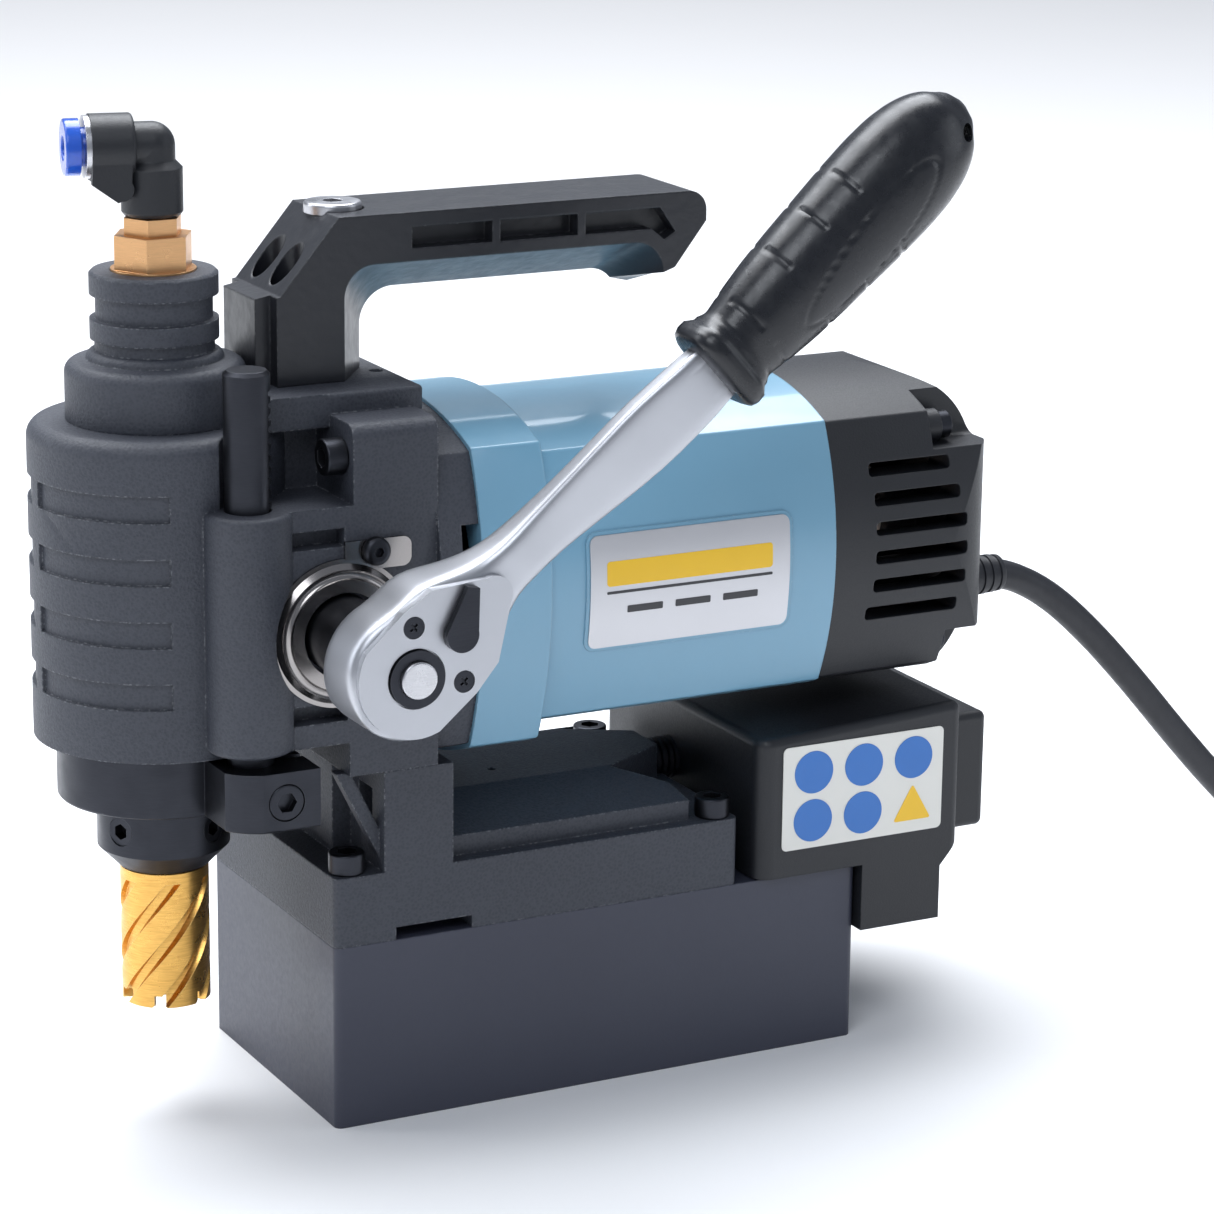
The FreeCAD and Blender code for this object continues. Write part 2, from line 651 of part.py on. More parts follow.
def make_motor_inside():
    axis = motor_at
    core = cut(cylinder(40.98, -12, 58, axis, "x"), cylinder(24.8, -13, 60, axis, "x"),
               *[box((-13, side * 26 - 5, 146 - 14), (47, side * 26 + 5, 146 + 14)) for side in (-1, 1)])
    coils = []
    for side in (-1, 1):
        low, high = sorted((side * 26.5, side * 31))
        coils.append(box((-16, low, 133.5), (50, high, 158.5)))
    node("stator", group(core, *coils))
    packet = cylinder(24, -10, 54, axis, "x")
    slots = []
    for index in range(12):
        slots.append(about_motor(box((-11, -1.1, 18), (45, 1.1, 26)), 30 * index))
    node("armature_core", cut(packet, cylinder(6, -12, 60, axis, "x"), *slots))
    commutator = cut(cylinder(12.5, 62, 16, axis, "x"), cylinder(5, 60, 20, axis, "x"))
    gaps = []
    for index in range(24):
        gaps.append(about_motor(box((64, -0.3, 11.5), (79, 0.3, 14)), 15 * index))
    node("commutator", cut(commutator, *gaps))
    hub = cut(fuse(cylinder(10, -36, 14, axis, "x"), cylinder(34, -24, 2, axis, "x")),
              cylinder(5.5, -37, 20, axis, "x"))
    blades = []
    for index in range(10):
        blades.append(about_motor(box((-36, -0.9, 9), (-23, 0.9, 33.5)), 36 * index))
    node("cooling_fan", fuse(hub, *blades))
    shaft = fuse(cylinder(4.97, -64, 20.5, axis, "x"), cylinder(5.5, -44, 32.5, axis, "x"),
                 cylinder(6, -12, 60, axis, "x"), cylinder(5, 47, 59.5, axis, "x"),
                 cylinder(3.97, 106, 9, axis, "x"))
    pinion = cone(3.4, 6.4, -68, 7.5, axis, "x")
    flutes = []
    for index in range(13):
        flute = cylinder(0.55, 0, 12, (0, 0), "x")
        flute.Placement = FreeCAD.Placement(V(-69, 0, 3.4), FreeCAD.Rotation(V(0, 1, 0), 90 - 21.8))
        flutes.append(about_motor(flute, 360.0 / 13 * index))
    node("armature_shaft", fuse(shaft, cut(pinion, *flutes)))
    bearings = [bearing(13, 5, 8, (-52, 0, 146), "x"), bearing(11, 4, 7, (107, 0, 146), "x")]
    node("motor_bearings", group(*bearings))
    holders = []
    for side in (-1, 1):
        low, high = sorted((side * 14.5, side * 30))
        sleeve = cut(box((65.5, low, 141), (76.5, high, 151)),
                     box((67.5, side * 22 - 20, 143), (74.5, side * 22 + 20, 149)))
        low, high = sorted((side * 12.8, side * 24))
        holders += [sleeve, box((67.7, low, 143.2), (74.3, high, 148.8))]
    holders.append(cut(cylinder(39.48, 76.5, 2.5, axis, "x"), cylinder(16, 75, 6, axis, "x")))
    node("brush_gear", group(*holders))


def bearing(outer, bore, width, at, axis):
    """A deep-groove ball bearing: two rings and a cage ring of balls as one closed ring."""
    x, y, z = at
    across = {"x": (y, z), "z": (x, y)}[axis]
    start = {"x": x, "z": z}[axis]
    ring = cut(cylinder(outer - 0.02, start, width, across, axis),
               cylinder(bore + 0.03, start - 1, width + 2, across, axis))
    middle = (outer + bore) / 2.0
    face = cut(cylinder(middle + 1.2, start - 1, 1.6, across, axis),
               cylinder(middle - 1.2, start - 2, 4, across, axis))
    return cut(ring, face)


# ---------------------------------------------------------------- gear train and drive sleeve

def spur_gear(teeth, module, bore, start, height, at):
    """A straight-toothed gear whose flanks are flat."""
    pitch = teeth * module / 2.0
    body = new_body((at[0], at[1], 0))
    sketch = body.newObject("Sketcher::SketchObject", "Blank")
    sketch.AttachmentSupport = [(plane_of(body, "XY_Plane"), "")]
    sketch.MapMode = "FlatFace"
    sketch.AttachmentOffset = FreeCAD.Placement(V(0, 0, number_of(start)), FreeCAD.Rotation())
    for radius in (pitch + 0.9 * module, bore):
        key = sketch.addGeometry(Part.Circle(V(0, 0, 0), V(0, 0, 1), radius), False)
        sketch.addConstraint(Sketcher.Constraint("Coincident", key, 3, -1, 1))
        sketch.addConstraint(Sketcher.Constraint("Radius", key, radius))
    feature(body, "Pad", sketch, Length=height)
    root, tip = pitch - 1.2 * module, pitch + 1.1 * module
    narrow, wide = 0.52 * module, 1.38 * module
    gap = outline(body, "XY_Plane", [(root, -narrow), (tip, -wide), (tip, wide), (root, narrow)],
                  number_of(start) + number_of(height))
    doc.recompute()
    cutter = feature(body, "Pocket", gap, Length=height)
    before = body.Shape.Volume
    array = body.newObject("PartDesign::PolarPattern", "Teeth")
    array.Originals = [cutter]
    array.Axis = (sketch, ["N_Axis"])
    array.Angle = 360
    array.Occurrences = teeth
    body.Tip = array
    doc.recompute()
    if body.Shape.Volume >= before:
        raise RuntimeError("gear teeth were not cut")
    return body


def about_upright(obj, axis_x, degrees, height=0):
    """Turn a piece drawn about the Z axis and move it onto an upright axis in the middle plane."""
    spot = FreeCAD.Placement(V(axis_x, 0, height), FreeCAD.Rotation(V(0, 0, 1), degrees))
    obj.Placement = spot.multiply(obj.Placement)
    return obj


def make_gears():
    low, height = dim("gear_bottom"), dim("gear_height")
    wheel = spur_gear(36, 1.5, 13.0, low, height, spindle_at)
    node("spindle_gear", wheel)
    pinion = spur_gear(19, 1.5, 5.0, low, height, lay_at)
    pinion.Placement = FreeCAD.Placement(pinion.Placement.Base,
                                         FreeCAD.Rotation(V(0, 0, 1), 180.0 + 180.0 / 19))
    shaft = fuse(cylinder(4.97, 152, 44.8, lay_at), cylinder(6, 178, 4.5, lay_at))
    node("layshaft", fuse(shaft, pinion))
    wheel = cut(fuse(cone(13.4, 8.5, 153, 4.5, lay_at), cylinder(8.5, 157, 6, lay_at)),
                cylinder(4.97, 150, 20, lay_at))
    notches = []
    for index in range(26):
        notch = box((6, -0.5, 153.0), (15, 0.5, 154.2))
        notches.append(about_upright(notch, -dim("lay_x").value, 360.0 / 26 * index))
    node("bevel_gear", cut(wheel, *notches))
    sleeve = cut(fuse(cylinder(13, 160, 34.9, spindle_at), cylinder(12.5, 194, 10, spindle_at)),
                 cylinder(dim("shaft_radius") + 0.08, 150, 70, spindle_at))
    key = box((-116.0, 7.4, 162), (-112.6, 9.4, 203.8))
    node("drive_sleeve", fuse(sleeve, key))
    bearings = [bearing(11, 5, 6, (-dim("lay_x").value, 0, 171), "z"),
                bearing(11, 5, 6, (-dim("lay_x").value, 0, 191.4), "z"),
                bearing(21, 12.5, 9, (-dim("spindle_x").value, 0, 195.3), "z")]
    node("gearbox_bearings", group(*bearings))


# ---------------------------------------------------------------- quill, rack and spindle

def make_quill():
    low, high, radius = dim("quill_bottom"), dim("quill_top"), dim("quill_radius")
    tube = turned([(14, low + 0.3), (radius, low + 0.3), (radius, high - 1), (radius - 1, high),
                   (17.5, high), (17.5, low + 3), (14, low + 3)], (-dim("spindle_x"), 0, 0))
    node("quill_tube", tube)
    collar = cylinder(dim("collar_radius"), low, 16.9, spindle_at)
    lug = padded("XY_Plane", [(-113.5, -24), (-113.5, -43, 14.0), (-105, -49.5), (-88.7, -49.5),
                              (-88.7, -24)], 16.4, at=(0, 0, low))
    clamp = fuse(collar, lug)
    clamp = rounded(clamp, 0.8, lambda edge: at_height(edge, low.value) and edge.Length > 6)
    tools = [cylinder(radius, low - 1, 25, spindle_at), cylinder(dim("rod_radius"), low - 1, 30, rod_at),
             box((-100, -37.5, low - 1), (-80, -35.5, low + 20)),
             cylinder(5.2, -50, 5.4, (-98.5, 98.5), "y"), cylinder(3.0, -46, 4, (-98.5, 98.5), "y")]
    node("quill_clamp", cut(clamp, *tools))
    node("clamp_screw", socket_screw(5, 5, 2.95, 1.8, (-98.5, -44.6, 98.5), "y", flip=-1))
    node("quill_bearings", group(bearing(17.5, 8.5, 10, (-dim("spindle_x").value, 0, 94), "z"),
                                 bearing(17.5, 8.5, 10, (-dim("spindle_x").value, 0, 118), "z")))
    make_rack()


def make_rack():
    """A round rod with straight teeth on the side that faces the feed pinion."""
    low, high, radius = dim("quill_bottom"), dim("rod_top"), dim("rod_radius")
    module = dim("tooth_module")
    pitch = math.pi * module.value
    body = turned([(0, low + 0.2), (radius, low + 0.2), (radius, high - 1), (radius - 1, high),
                   (0, high)], (rod_at[0], rod_at[1], 0))
    line = number_of(feed_at[0]) - 18 - number_of(rod_at[0])
    first = dim("feed_z").value - 8 * pitch
    root, tip = line - 1.3 * module.value, radius.value + 1
    gap = outline(body, "XZ_Plane", [(root, first - 0.55), (tip, first - 1.7), (tip, first + 1.7),
                                     (root, first + 0.55)], 8)
    doc.recompute()
    before = body.Shape.Volume
    slot = feature(body, "Pocket", gap, Length=16.0)
    doc.recompute()
    row = body.newObject("PartDesign::LinearPattern", "Teeth")
    row.Originals = [slot]
    row.Direction = (gap, ["V_Axis"])
    count = 30
    row.Length = pitch * (count - 1)
    row.Occurrences = count
    body.Tip = row
    doc.recompute()
    if body.Shape.Volume >= before - 100:
        raise RuntimeError("rack teeth were not cut")
    node("rack_rod", body)


def make_spindle():
    radius = dim("shaft_radius")
    arbor = dim("arbor_radius")
    low = dim("arbor_bottom")
    profile = [(9.6, 69.8), (12.6, 69.8), (arbor, low), (arbor, 90.1), (13.2, 90.1), (13.2, 93.6),
               (radius, 93.6), (radius, 223.5), (3.2, 223.5), (3.2, 96), (9.6, 92)]
    shaft = turned(profile, (-dim("spindle_x"), 0, 0))
    tools = [box((-116.4, 6.9, 128.5), (-112.2, 10, 230))]
    screws = []
    for angle in (208, 298):
        hole = cylinder(4, 8, 14, (0, 0), "x")
        tools.append(about_upright(hole, -dim("spindle_x").value, angle, 82.5))
        screw = cut(cylinder(3.97, 9.6, 8.2, (0, 0), "x"), prism(6, 4, 14.6, 6, (0, 0), "x"))
        screws.append(about_upright(screw, -dim("spindle_x").value, angle, 82.5))
    node("spindle_shaft", cut(shaft, *tools))
    node("arbor_screws", group(*screws))
    make_cutter()
    pin = turned([(0, 34.4), (1.2, 34.4), (3.2, 37.5), (3.2, 86.5), (5, 86.5), (5, 89.5), (0, 89.5)],
                 (-dim("spindle_x"), 0, 0))
    node("pilot_pin", pin)


def make_cutter():
    """An annular cutter: shank in the arbor, fluted cup below with six notched teeth."""
    low, high, radius = dim("cutter_bottom"), dim("cutter_top"), dim("cutter_radius")
    cup = turned([(3.25, 86), (3.25, high - 5), (9.2, high - 8), (9.2, low), (radius, low),
                  (radius, high - 0.5), (9.5, high - 0.5), (9.5, 86)], (-dim("spindle_x"), 0, 0))
    tools = []
    length = high.value - low.value - 3
    for index in range(6):
        tools.append(flute(index, radius.value, low.value, length))
    node("annular_cutter", cut(cup, *tools))


def flute(index, radius, low, length):
    """One helical groove on the outside of the cutter, ending in a notch at its mouth."""
    pitch = 92.0
    helix = Part.makeHelix(pitch, length, radius)
    corners = [V(radius - 1.7, -2.1, 0), V(radius + 2, -3.4, 0), V(radius + 2, 3.2, 0),
               V(radius - 1.7, 0.6, 0)]
    profile = Part.Wire(Part.makePolygon(corners + corners[:1]))
    wire = Part.Wire(helix.Edges)
    groove = wire.makePipeShell([profile], True, True)
    obj = doc.addObject("Part::Feature", "Flute")
    obj.Shape = groove
    turn = FreeCAD.Rotation(V(0, 0, 1), 60 * index)
    obj.Placement = FreeCAD.Placement(V(-dim("spindle_x").value, 0, low - 0.5), turn)
    gullet = box((radius - 4, -1.5, low - 1), (radius + 2, 1.4, low + 3.4))
    return fuse(obj, about_upright(gullet, -dim("spindle_x").value, 60 * index))


# ---------------------------------------------------------------- feed pinion and ratchet wrench

def make_feed():
    teeth = int(dim("feed_teeth").value)
    gear = spur_gear(teeth, 1, 6.0, 0, 12, (0, 0))
    gear.Placement = FreeCAD.Placement(V(-dim("feed_x").value, -30.5, dim("feed_z").value),
                                       FreeCAD.Rotation(V(1, 0, 0), 90).multiply(
                                           FreeCAD.Rotation(V(0, 0, 1), 185.0)))
    shaft = fuse(cylinder(6.0, -43, 13, feed_at, "y"), cylinder(dim("hub_radius"), -69.6, 27, feed_at, "y"))
    middle = dim("feed_z")
    hub = cut(shaft, box((-86.45, -71, middle - 6.45), (-73.55, -55, middle + 6.45)))
    node("feed_pinion", fuse(gear, hub))
    inner, outer = dim("hub_radius") + 1.0, dim("cover_radius")
    cover = turned([(inner, 0), (outer, 0), (outer, 0.9), (outer - 1.2, 1.0), (outer - 2.6, 2.4, -1.8),
                    (outer - 5.2, 3.3), (inner, 3.3)])
    cover.Placement = FreeCAD.Placement(V(-dim("feed_x").value, -43.4, dim("feed_z").value),
                                        FreeCAD.Rotation(V(1, 0, 0), 90))
    tab = box((-79, -44.6, 158.4), (-59.8, -43.4, 166.5))
    tab = rounded(tab, 2.5, lambda edge: is_line_along(edge, "y") and edge_middle(edge).x > -62)
    tab = cut(tab, cylinder(outer - 0.3, -46, 5, feed_at, "y"),
              cylinder(2.05, -46, 5, (-70.5, 163.5), "y"))
    node("dust_cover", fuse(cover, tab))
    head = cylinder(3.9, -47.6, 2.7, (-70.5, 163.5), "y")
    head = rounded(head, 1.6, lambda edge: abs(edge_middle(edge).y + 47.6) < 0.01)
    screw = cut(fuse(head, cylinder(2.0, -45, 8, (-70.5, 163.5), "y")),
                prism(6, 2.5, -49, 2.8, (-70.5, 163.5), "y"))
    node("dust_cover_screw", screw)


def on_wrench(obj):
    """Place a piece drawn with the wrench along +X about the origin onto the feed axis."""
    turn = FreeCAD.Rotation(V(0, 1, 0), -dim("wrench_angle").value)
    start = V(-dim("feed_x").value, 0, dim("feed_z").value)
    obj.Placement = FreeCAD.Placement(start, turn).multiply(obj.Placement)
    return obj


def make_wrench():
    back, radius = -dim("wrench_back"), dim("head_radius")
    offset = -dim("grip_offset").value
    head = padded("XZ_Plane", [(-6.2, 16.7, radius), (-6.2, -16.7), (11, -16.9), (20.5, -15.4), (33, -7.2),
                               (38, -6.6), (38, 6.6), (33, 7.2), (20.5, 15.4), (11, 16.9)],
                  dim("wrench_face") - dim("wrench_back"), at=(0, back, 0))
    head = rounded(head, 1.6, lambda edge: abs(abs(edge_middle(edge).y + 80) - 10) < 0.01)
    bore = fuse(cylinder(11.55, -88.6, 17.6, (0, 0), "y"), cylinder(9.2, -72, 4, (0, 0), "y"))
    seat = padded("XZ_Plane", plate_outline(0.15), 3.0, at=(0, -88.4, 0))
    pivot = cylinder(3.1, -90, 12, (16, 0), "y")
    pawl_room = padded("XZ_Plane", rectangle_between(8, -8, 21, 8), 12, at=(0, -76.4, 0))
    holes = [cylinder(1.55, -90, 10, (8.5, side * 10.7), "y") for side in (-1, 1)]
    body = cut(fuse(head, wrench_shank(offset)), bore, seat, pivot, pawl_room, *holes)
    node("wrench_body", on_wrench(body))
    plate = padded("XZ_Plane", plate_outline(0), 3.0, at=(0, -88.4, 0))
    plate = cut(plate, cylinder(8.1, -93, 8, (0, 0), "y"), cylinder(3.15, -93, 8, (16, 0), "y"),
                *[cylinder(3.0, -93, 3.2, (8.5, side * 10.7), "y") for side in (-1, 1)],
                *[cylinder(1.6, -93, 8, (8.5, side * 10.7), "y") for side in (-1, 1)])
    node("wrench_plate", on_wrench(plate))
    screws = []
    for side in (-1, 1):
        spot = (8.5, side * 10.7)
        screw = fuse(cylinder(2.85, -91.3, 1.5, spot, "y"), cylinder(1.5, -90, 8, spot, "y"))
        cross = fuse(box((7.2, -92, side * 10.7 - 0.35), (9.8, -90.5, side * 10.7 + 0.35)),
                     box((8.15, -92, side * 10.7 - 1.3), (8.85, -90.5, side * 10.7 + 1.3)))
        screws.append(cut(screw, cross))
    node("plate_screws", on_wrench(group(*screws)))
    lever = fuse(cylinder(4.5, -94.0, 2.3, (16, 0), "y"), cylinder(3.0, -92, 3.8, (16, 0), "y"),
                 cylinder(2.4, -89, 8.6, (16, 0), "y"))
    tail = padded("XZ_Plane", [(14.6, 4.2), (19.2, -3.0), (27.6, 6.0), (25.6, 8.6)], 2.3, at=(0, -91.7, 0))
    node("reversing_lever", on_wrench(fuse(lever, tail)))
    middle = dim("feed_z")
    drive = fuse(cylinder(11.5, -87.6, 16.3, feed_at, "y"), cylinder(7.7, -92.2, 6, feed_at, "y"),
                 box((-86.3, -72, middle - 6.3), (-73.7, -57, middle + 6.3)))
    node("ratchet_drive", cut(drive, cylinder(5.1, -93, 20, feed_at, "y")))
    button = fuse(cylinder(5.0, -93.6, 9, (0, 0), "y"), cylinder(2.2, -85, 10, (0, 0), "y"))
    button = rounded(button, 0.5, lambda edge: abs(edge_middle(edge).y + 93.6) < 0.01)
    node("release_button", on_wrench(button))
    grip = loft_bar([(116, offset, 12.6, 11.0), (119, offset, 12.2, 10.8), (125, offset, 13.1, 11.4),
                     (135, offset, 14.2, 12.2), (150, offset, 15.3, 13.0), (165, offset, 16.0, 13.2),
                     (180, offset, 16.4, 13.2), (191, offset, 15.8, 12.6), (200, offset, 13.4, 10.8),
                     (206, offset, 9.4, 7.8), (209.3, offset, 5.0, 4.0)], round_bar=True)
    collar = loft_bar([(110.5, offset, 12.4, 11.2), (112, offset, 13.5, 12.2), (115.5, offset, 13.6, 12.2),
                       (117, offset, 12.6, 11.4)], round_bar=True)
    hang = cylinder(2.4, -110, 30, (203.5, -3.0), "y")
    node("wrench_grip", on_wrench(cut(fuse(grip, collar), wrench_shank(offset), hang)))


def wrench_shank(offset):
    """The flat bar that cranks outward from the head into the grip."""
    return loft_bar([(30, -81, 6.6, 7.0), (46, -84.0, 7.0, 4.2), (62, -87.5, 7.7, 3.6),
                     (85, -91.7, 9.8, 3.4), (104, -94.2, 8.4, 3.6), (124, offset, 8.0, 3.8)])


def plate_outline(slack):
    """The flat face plate inset in the head: a round end that narrows toward the shank."""
    s = slack
    return [(-5, 15.4 + s, 16.2 + s), (-5, -15.4 - s), (9, -15.7 - s), (18.5, -14.2 - s),
            (31.2, -5.0 - s, 5.3 + s), (31.2, 5.0 + s), (18.5, 14.2 + s), (9, 15.7 + s)]


def loft_bar(stations, round_bar=False):
    """A bar through sections (along, across, half width, half depth)."""
    sections = []
    for along, across, half_wide, half_deep in stations:
        if round_bar:
            section = doc.addObject("Part::Ellipse", "Section")
            section.MajorRadius = max(half_wide, half_deep)
            section.MinorRadius = min(half_wide, half_deep)
        else:
            section = doc.addObject("Part::Plane", "Section")
            section.Length = 2 * half_wide
            section.Width = 2 * half_deep
        turn = FreeCAD.Rotation(V(0, 0, 1), V(0, -1, 0), V(1, 0, 0), "XYZ")
        corner = V(0, 0, 0) if round_bar else turn.multVec(V(-half_wide, -half_deep, 0))
        section.Placement = FreeCAD.Placement(V(along, across, 0) + corner, turn)
        sections.append(section)
    bar = doc.addObject("Part::Loft", "Bar")
    bar.Sections = sections
    bar.Solid = True
    bar.Ruled = False
    return bar


# ---------------------------------------------------------------- coolant connection

def make_coolant():
    x = -dim("spindle_x")
    top = dim("neck_top")
    reducer = fuse(prism(6, 19, top + 0.1, 9.5, spindle_at), cylinder(11.4, top - 10, 10.5, spindle_at))
    reducer = cut(reducer, cylinder(4.2, top - 12, 30, spindle_at))
    node("brass_reducer", reducer)
    stem = fuse(prism(6, 14, 244.4, 4.6, spindle_at), cylinder(4.1, 238, 8, spindle_at),
                cylinder(4.6, 249, 9, spindle_at))
    node("fitting_stem", cut(stem, cylinder(2.2, 236, 30, spindle_at)))
    middle, barrel = dim("elbow_z"), dim("barrel_radius")
    tube = 6.3
    lower = turned([(4.7, 249.4), (7.4, 249.4), (8.2, 250.4), (8.2, 262), (tube, 264), (tube, middle),
                    (0, middle), (0, 258.5), (4.7, 258.5)])
    corner = doc.addObject("Part::Sphere", "Corner")
    corner.Radius = tube
    place(corner, (0, 0, middle))
    arm = cylinder(tube, -9, 9, (0, middle), "x")
    drum = cylinder(barrel, -16.5, 11.5, (0, middle), "x")
    drum = rounded(drum, 1.0, lambda edge: abs(edge_middle(edge).x + 5) < 0.01)
    fin = [(-16.3, 265.5), (-16.8, 258.8), (-10, 253.9), (-6.5, 255.6), (-6.0, 265.5)]
    lugs = []
    for low in (-7.9, 5.3):
        lugs.append(cylinder(3.1, low, 2.6, (-8.9, 257.4), "y"))
        lugs.append(padded("XZ_Plane", fin, 2.6, at=(0, low + 2.6, 0)))
    hollows = [cylinder(2.5, -25, 25, (0, middle), "x"), cylinder(2.5, 257, 11, (0, 0)),
               cylinder(5.3, -18, 11, (0, middle), "x")]
    elbow = cut(fuse(lower, corner, arm, drum, *lugs), *hollows)
    ring = cut(cylinder(8.3, -18.0, 1.5, (0, middle), "x"), cylinder(5.3, -22, 6, (0, middle), "x"))
    collet = cut(fuse(cylinder(7.6, -23.3, 4.1, (0, middle), "x"),
                      cylinder(5.22, -20, 11.6, (0, middle), "x")),
                 cylinder(3.1, -28, 24, (0, middle), "x"))
    collet = rounded(collet, 0.7, lambda edge: abs(edge_middle(edge).x + 23.3) < 0.01)
    for name, obj in (("elbow_fitting", elbow), ("collet_ring", ring), ("release_collet", collet)):
        turn = FreeCAD.Rotation(V(0, 0, 1), -dim("elbow_turn").value)
        obj.Placement = FreeCAD.Placement(V(-dim("spindle_x").value, 0, 0), turn).multiply(obj.Placement)
        node(name, obj)


# ---------------------------------------------------------------- control box

def make_control_box():
    front, rear, low, top = dim("box_front"), dim("box_rear"), dim("box_bottom"), dim("box_top")
    near, far = -dim("box_near"), dim("box_far")
    side = [(front, low), (82.6, low), (82.6, 33), (109, 33), (109, 49), (rear, 56), (rear, top),
            (front, top - 4)]
    shell = padded("XZ_Plane", side, dim("box_near") + dim("box_far"), at=(0, far, 0))
    shell = rounded(shell, 5.0, lambda edge: is_line_along(edge, "z") and
                    edge_middle(edge).x < front.value + 1)
    shell = rounded(shell, 2.6, lambda edge: edge_middle(edge).z > 88 or
                    (is_line_along(edge, "z") and edge_middle(edge).x > rear.value - 1))
    room = [box((front + 2.6, near + 2.6, low + 0.3), (rear - 2.6, far - 2.6, top - 7)),
            box((85.2, near + 2.6, 35.6), (106.4, far - 2.6, low + 1)),
            box((rear - 4, -27, 56), (rear + 1, 31, 85.5)),
            cylinder(6.2, front - 1, 5, LEAD_AT, "x")]
    node("control_box", cut(shell, *room))
    cover = box((rear.value + 0.02, -30, 53), (134, 34, 88.5))
    cover = rounded(cover, 2.2, lambda edge: (is_line_along(edge, "x")) or edge_middle(edge).x > 133.9)
    cover = cut(cover, box((114, -27.5, 55.5), (131.5, 31.5, 86)),
                *[box((130, middle - 5.6, 62.0), (136, middle + 5.6, 80.0)) for middle in (-11.5, 15.5)])
    node("switch_cover", cover)
    board = box((56, -36, 60), (104, 40, 61.6))
    parts = [board]
    parts += [box((62, -30, 61.6), (76, -14, 74)), box((84, -10, 61.6), (98, 12, 70))]
    parts += [cylinder(4, 61.6, 12, (66, y)) for y in (4, 16, 28)]
    posts = [cylinder(3, 53.3, 6.7, spot) for spot in ((60, -32), (60, 36), (100, -32), (100, 36))]
    node("circuit_board", fuse(*(parts + posts)))
    for name, middle in (("magnet_switch", -11.5), ("motor_switch", 15.5)):
        paddle = padded("XZ_Plane", [(130, 63.2), (135.4, 63.2), (134.4, 71), (136.2, 78.8), (130, 78.8)],
                        10.4, at=(0, middle, 0), both_ways=True)
        pin = cylinder(1.4, middle - 5.5, 11, (131, 71), "y")
        node(name, fuse(paddle, pin))
    boot = [cylinder(4.6, 35.5, 12, LEAD_AT, "x"), cylinder(6.1, 47, 4, LEAD_AT, "x")]
    boot += [cylinder(6.1, 36.4 + 2.2 * index, 1.2, LEAD_AT, "x") for index in range(5)]
    node("lead_boot", fuse(*boot))


# ---------------------------------------------------------------- mains cord

CORD_ROUTE = [(149.2, -12, 125), (165, -12, 117), (181.5, -12.2, 102.5), (198, -12.5, 85), (214, -13, 66.6),
              (231, -13.4, 48.2), (249, -14, 31), (271, -14.6, 16), (297, -15.5, 7.4),
              (323, -17.3, 4.7), (347, -19, 4.6)]
COIL_CENTRE = (358, 42)
COIL_MIDDLE = 48.4
COIL_TURNS_WIDE = 4
COIL_LAYERS = 2
PLUG_LIFT = 19.3


def cord_path(points):
    """Straight runs joined by tangent arcs, each arc as large as its two runs allow."""
    spots = [V(*point) for point in points]
    edges, here = [], spots[0]
    for before, corner, after in zip(spots, spots[1:], spots[2:]):
        into, out = (corner - before), (after - corner)
        shorter = min(into.Length, out.Length)
        into.normalize()
        out.normalize()
        turn = into.getAngle(out)
        trim = 0.45 * shorter
        radius = trim / math.tan(turn / 2)
        print("cord arc radius %.1f mm, turn %.1f degrees" % (radius, math.degrees(turn)))
        start, end = corner - into * trim, corner + out * trim
        inward = (out - into).normalize()
        middle = corner + inward * (radius / math.cos(turn / 2) - radius)
        edges += [Part.LineSegment(here, start).toShape(), Part.Arc(start, middle, end).toShape()]
        here = end
    edges.append(Part.LineSegment(here, spots[-1]).toShape())
    return Part.Wire(edges)


def cord_tube(points, diameter):
    path = cord_path(points)
    first = V(*points[1]) - V(*points[0])
    section = Part.Wire(Part.makeCircle(diameter / 2.0, V(*points[0]), first))
    tube = path.makePipeShell([section], True, False)
    expected = math.pi * diameter ** 2 / 4 * path.Length
    print("cord length %.1f mm, volume %.0f of %.0f" % (path.Length, tube.Volume, expected))
    if abs(tube.Volume - expected) > 0.02 * expected:
        raise RuntimeError("the cord's volume is not its section times its length")
    return tube


def make_cord():
    width = dim("cord_diameter")
    at = (-dim("cord_exit_y"), dim("cord_exit_z"))
    rear = dim("cap_rear")
    boot = fuse(cone(8.0, 5.4, rear, dim("boot_length"), at, "x"), cylinder(5.9, rear - 8, 9, at, "x"))
    boot = cut(boot, cylinder(width / 2, rear - 10, 40, at, "x"))
    core = cylinder(width / 2 - 0.02, rear - 6, 27.2, at, "x")
    node("cord_boot", boot)
    tube = doc.addObject("Part::Feature", "Tube")
    tube.Shape = cord_tube(CORD_ROUTE, width.value)
    node("mains_cord", group(core, tube))
    half_band = COIL_TURNS_WIDE * width.value / 2
    high = COIL_LAYERS * width.value
    coil = cut(cylinder(COIL_MIDDLE + half_band, 0.2, high, COIL_CENTRE),
               cylinder(COIL_MIDDLE - half_band, -1, high + 3, COIL_CENTRE))
    coil = rounded(coil, 3.5, lambda edge: not is_line_along(edge, "z"))
    node("cord_coil", coil)
    make_plug()
    inner = COIL_CENTRE[0] - COIL_MIDDLE - half_band
    outer = COIL_CENTRE[0] - COIL_MIDDLE + half_band
    low_y, high_y = COIL_CENTRE[1] - 3, COIL_CENTRE[1] + 3
    node("cord_tie", cut(box((inner - 1.4, low_y, 0.0), (outer + 1.4, high_y, high + 1.6)),
                         box((inner - 0.2, low_y - 1, 0.1), (outer + 0.2, high_y + 1, high + 0.4))))


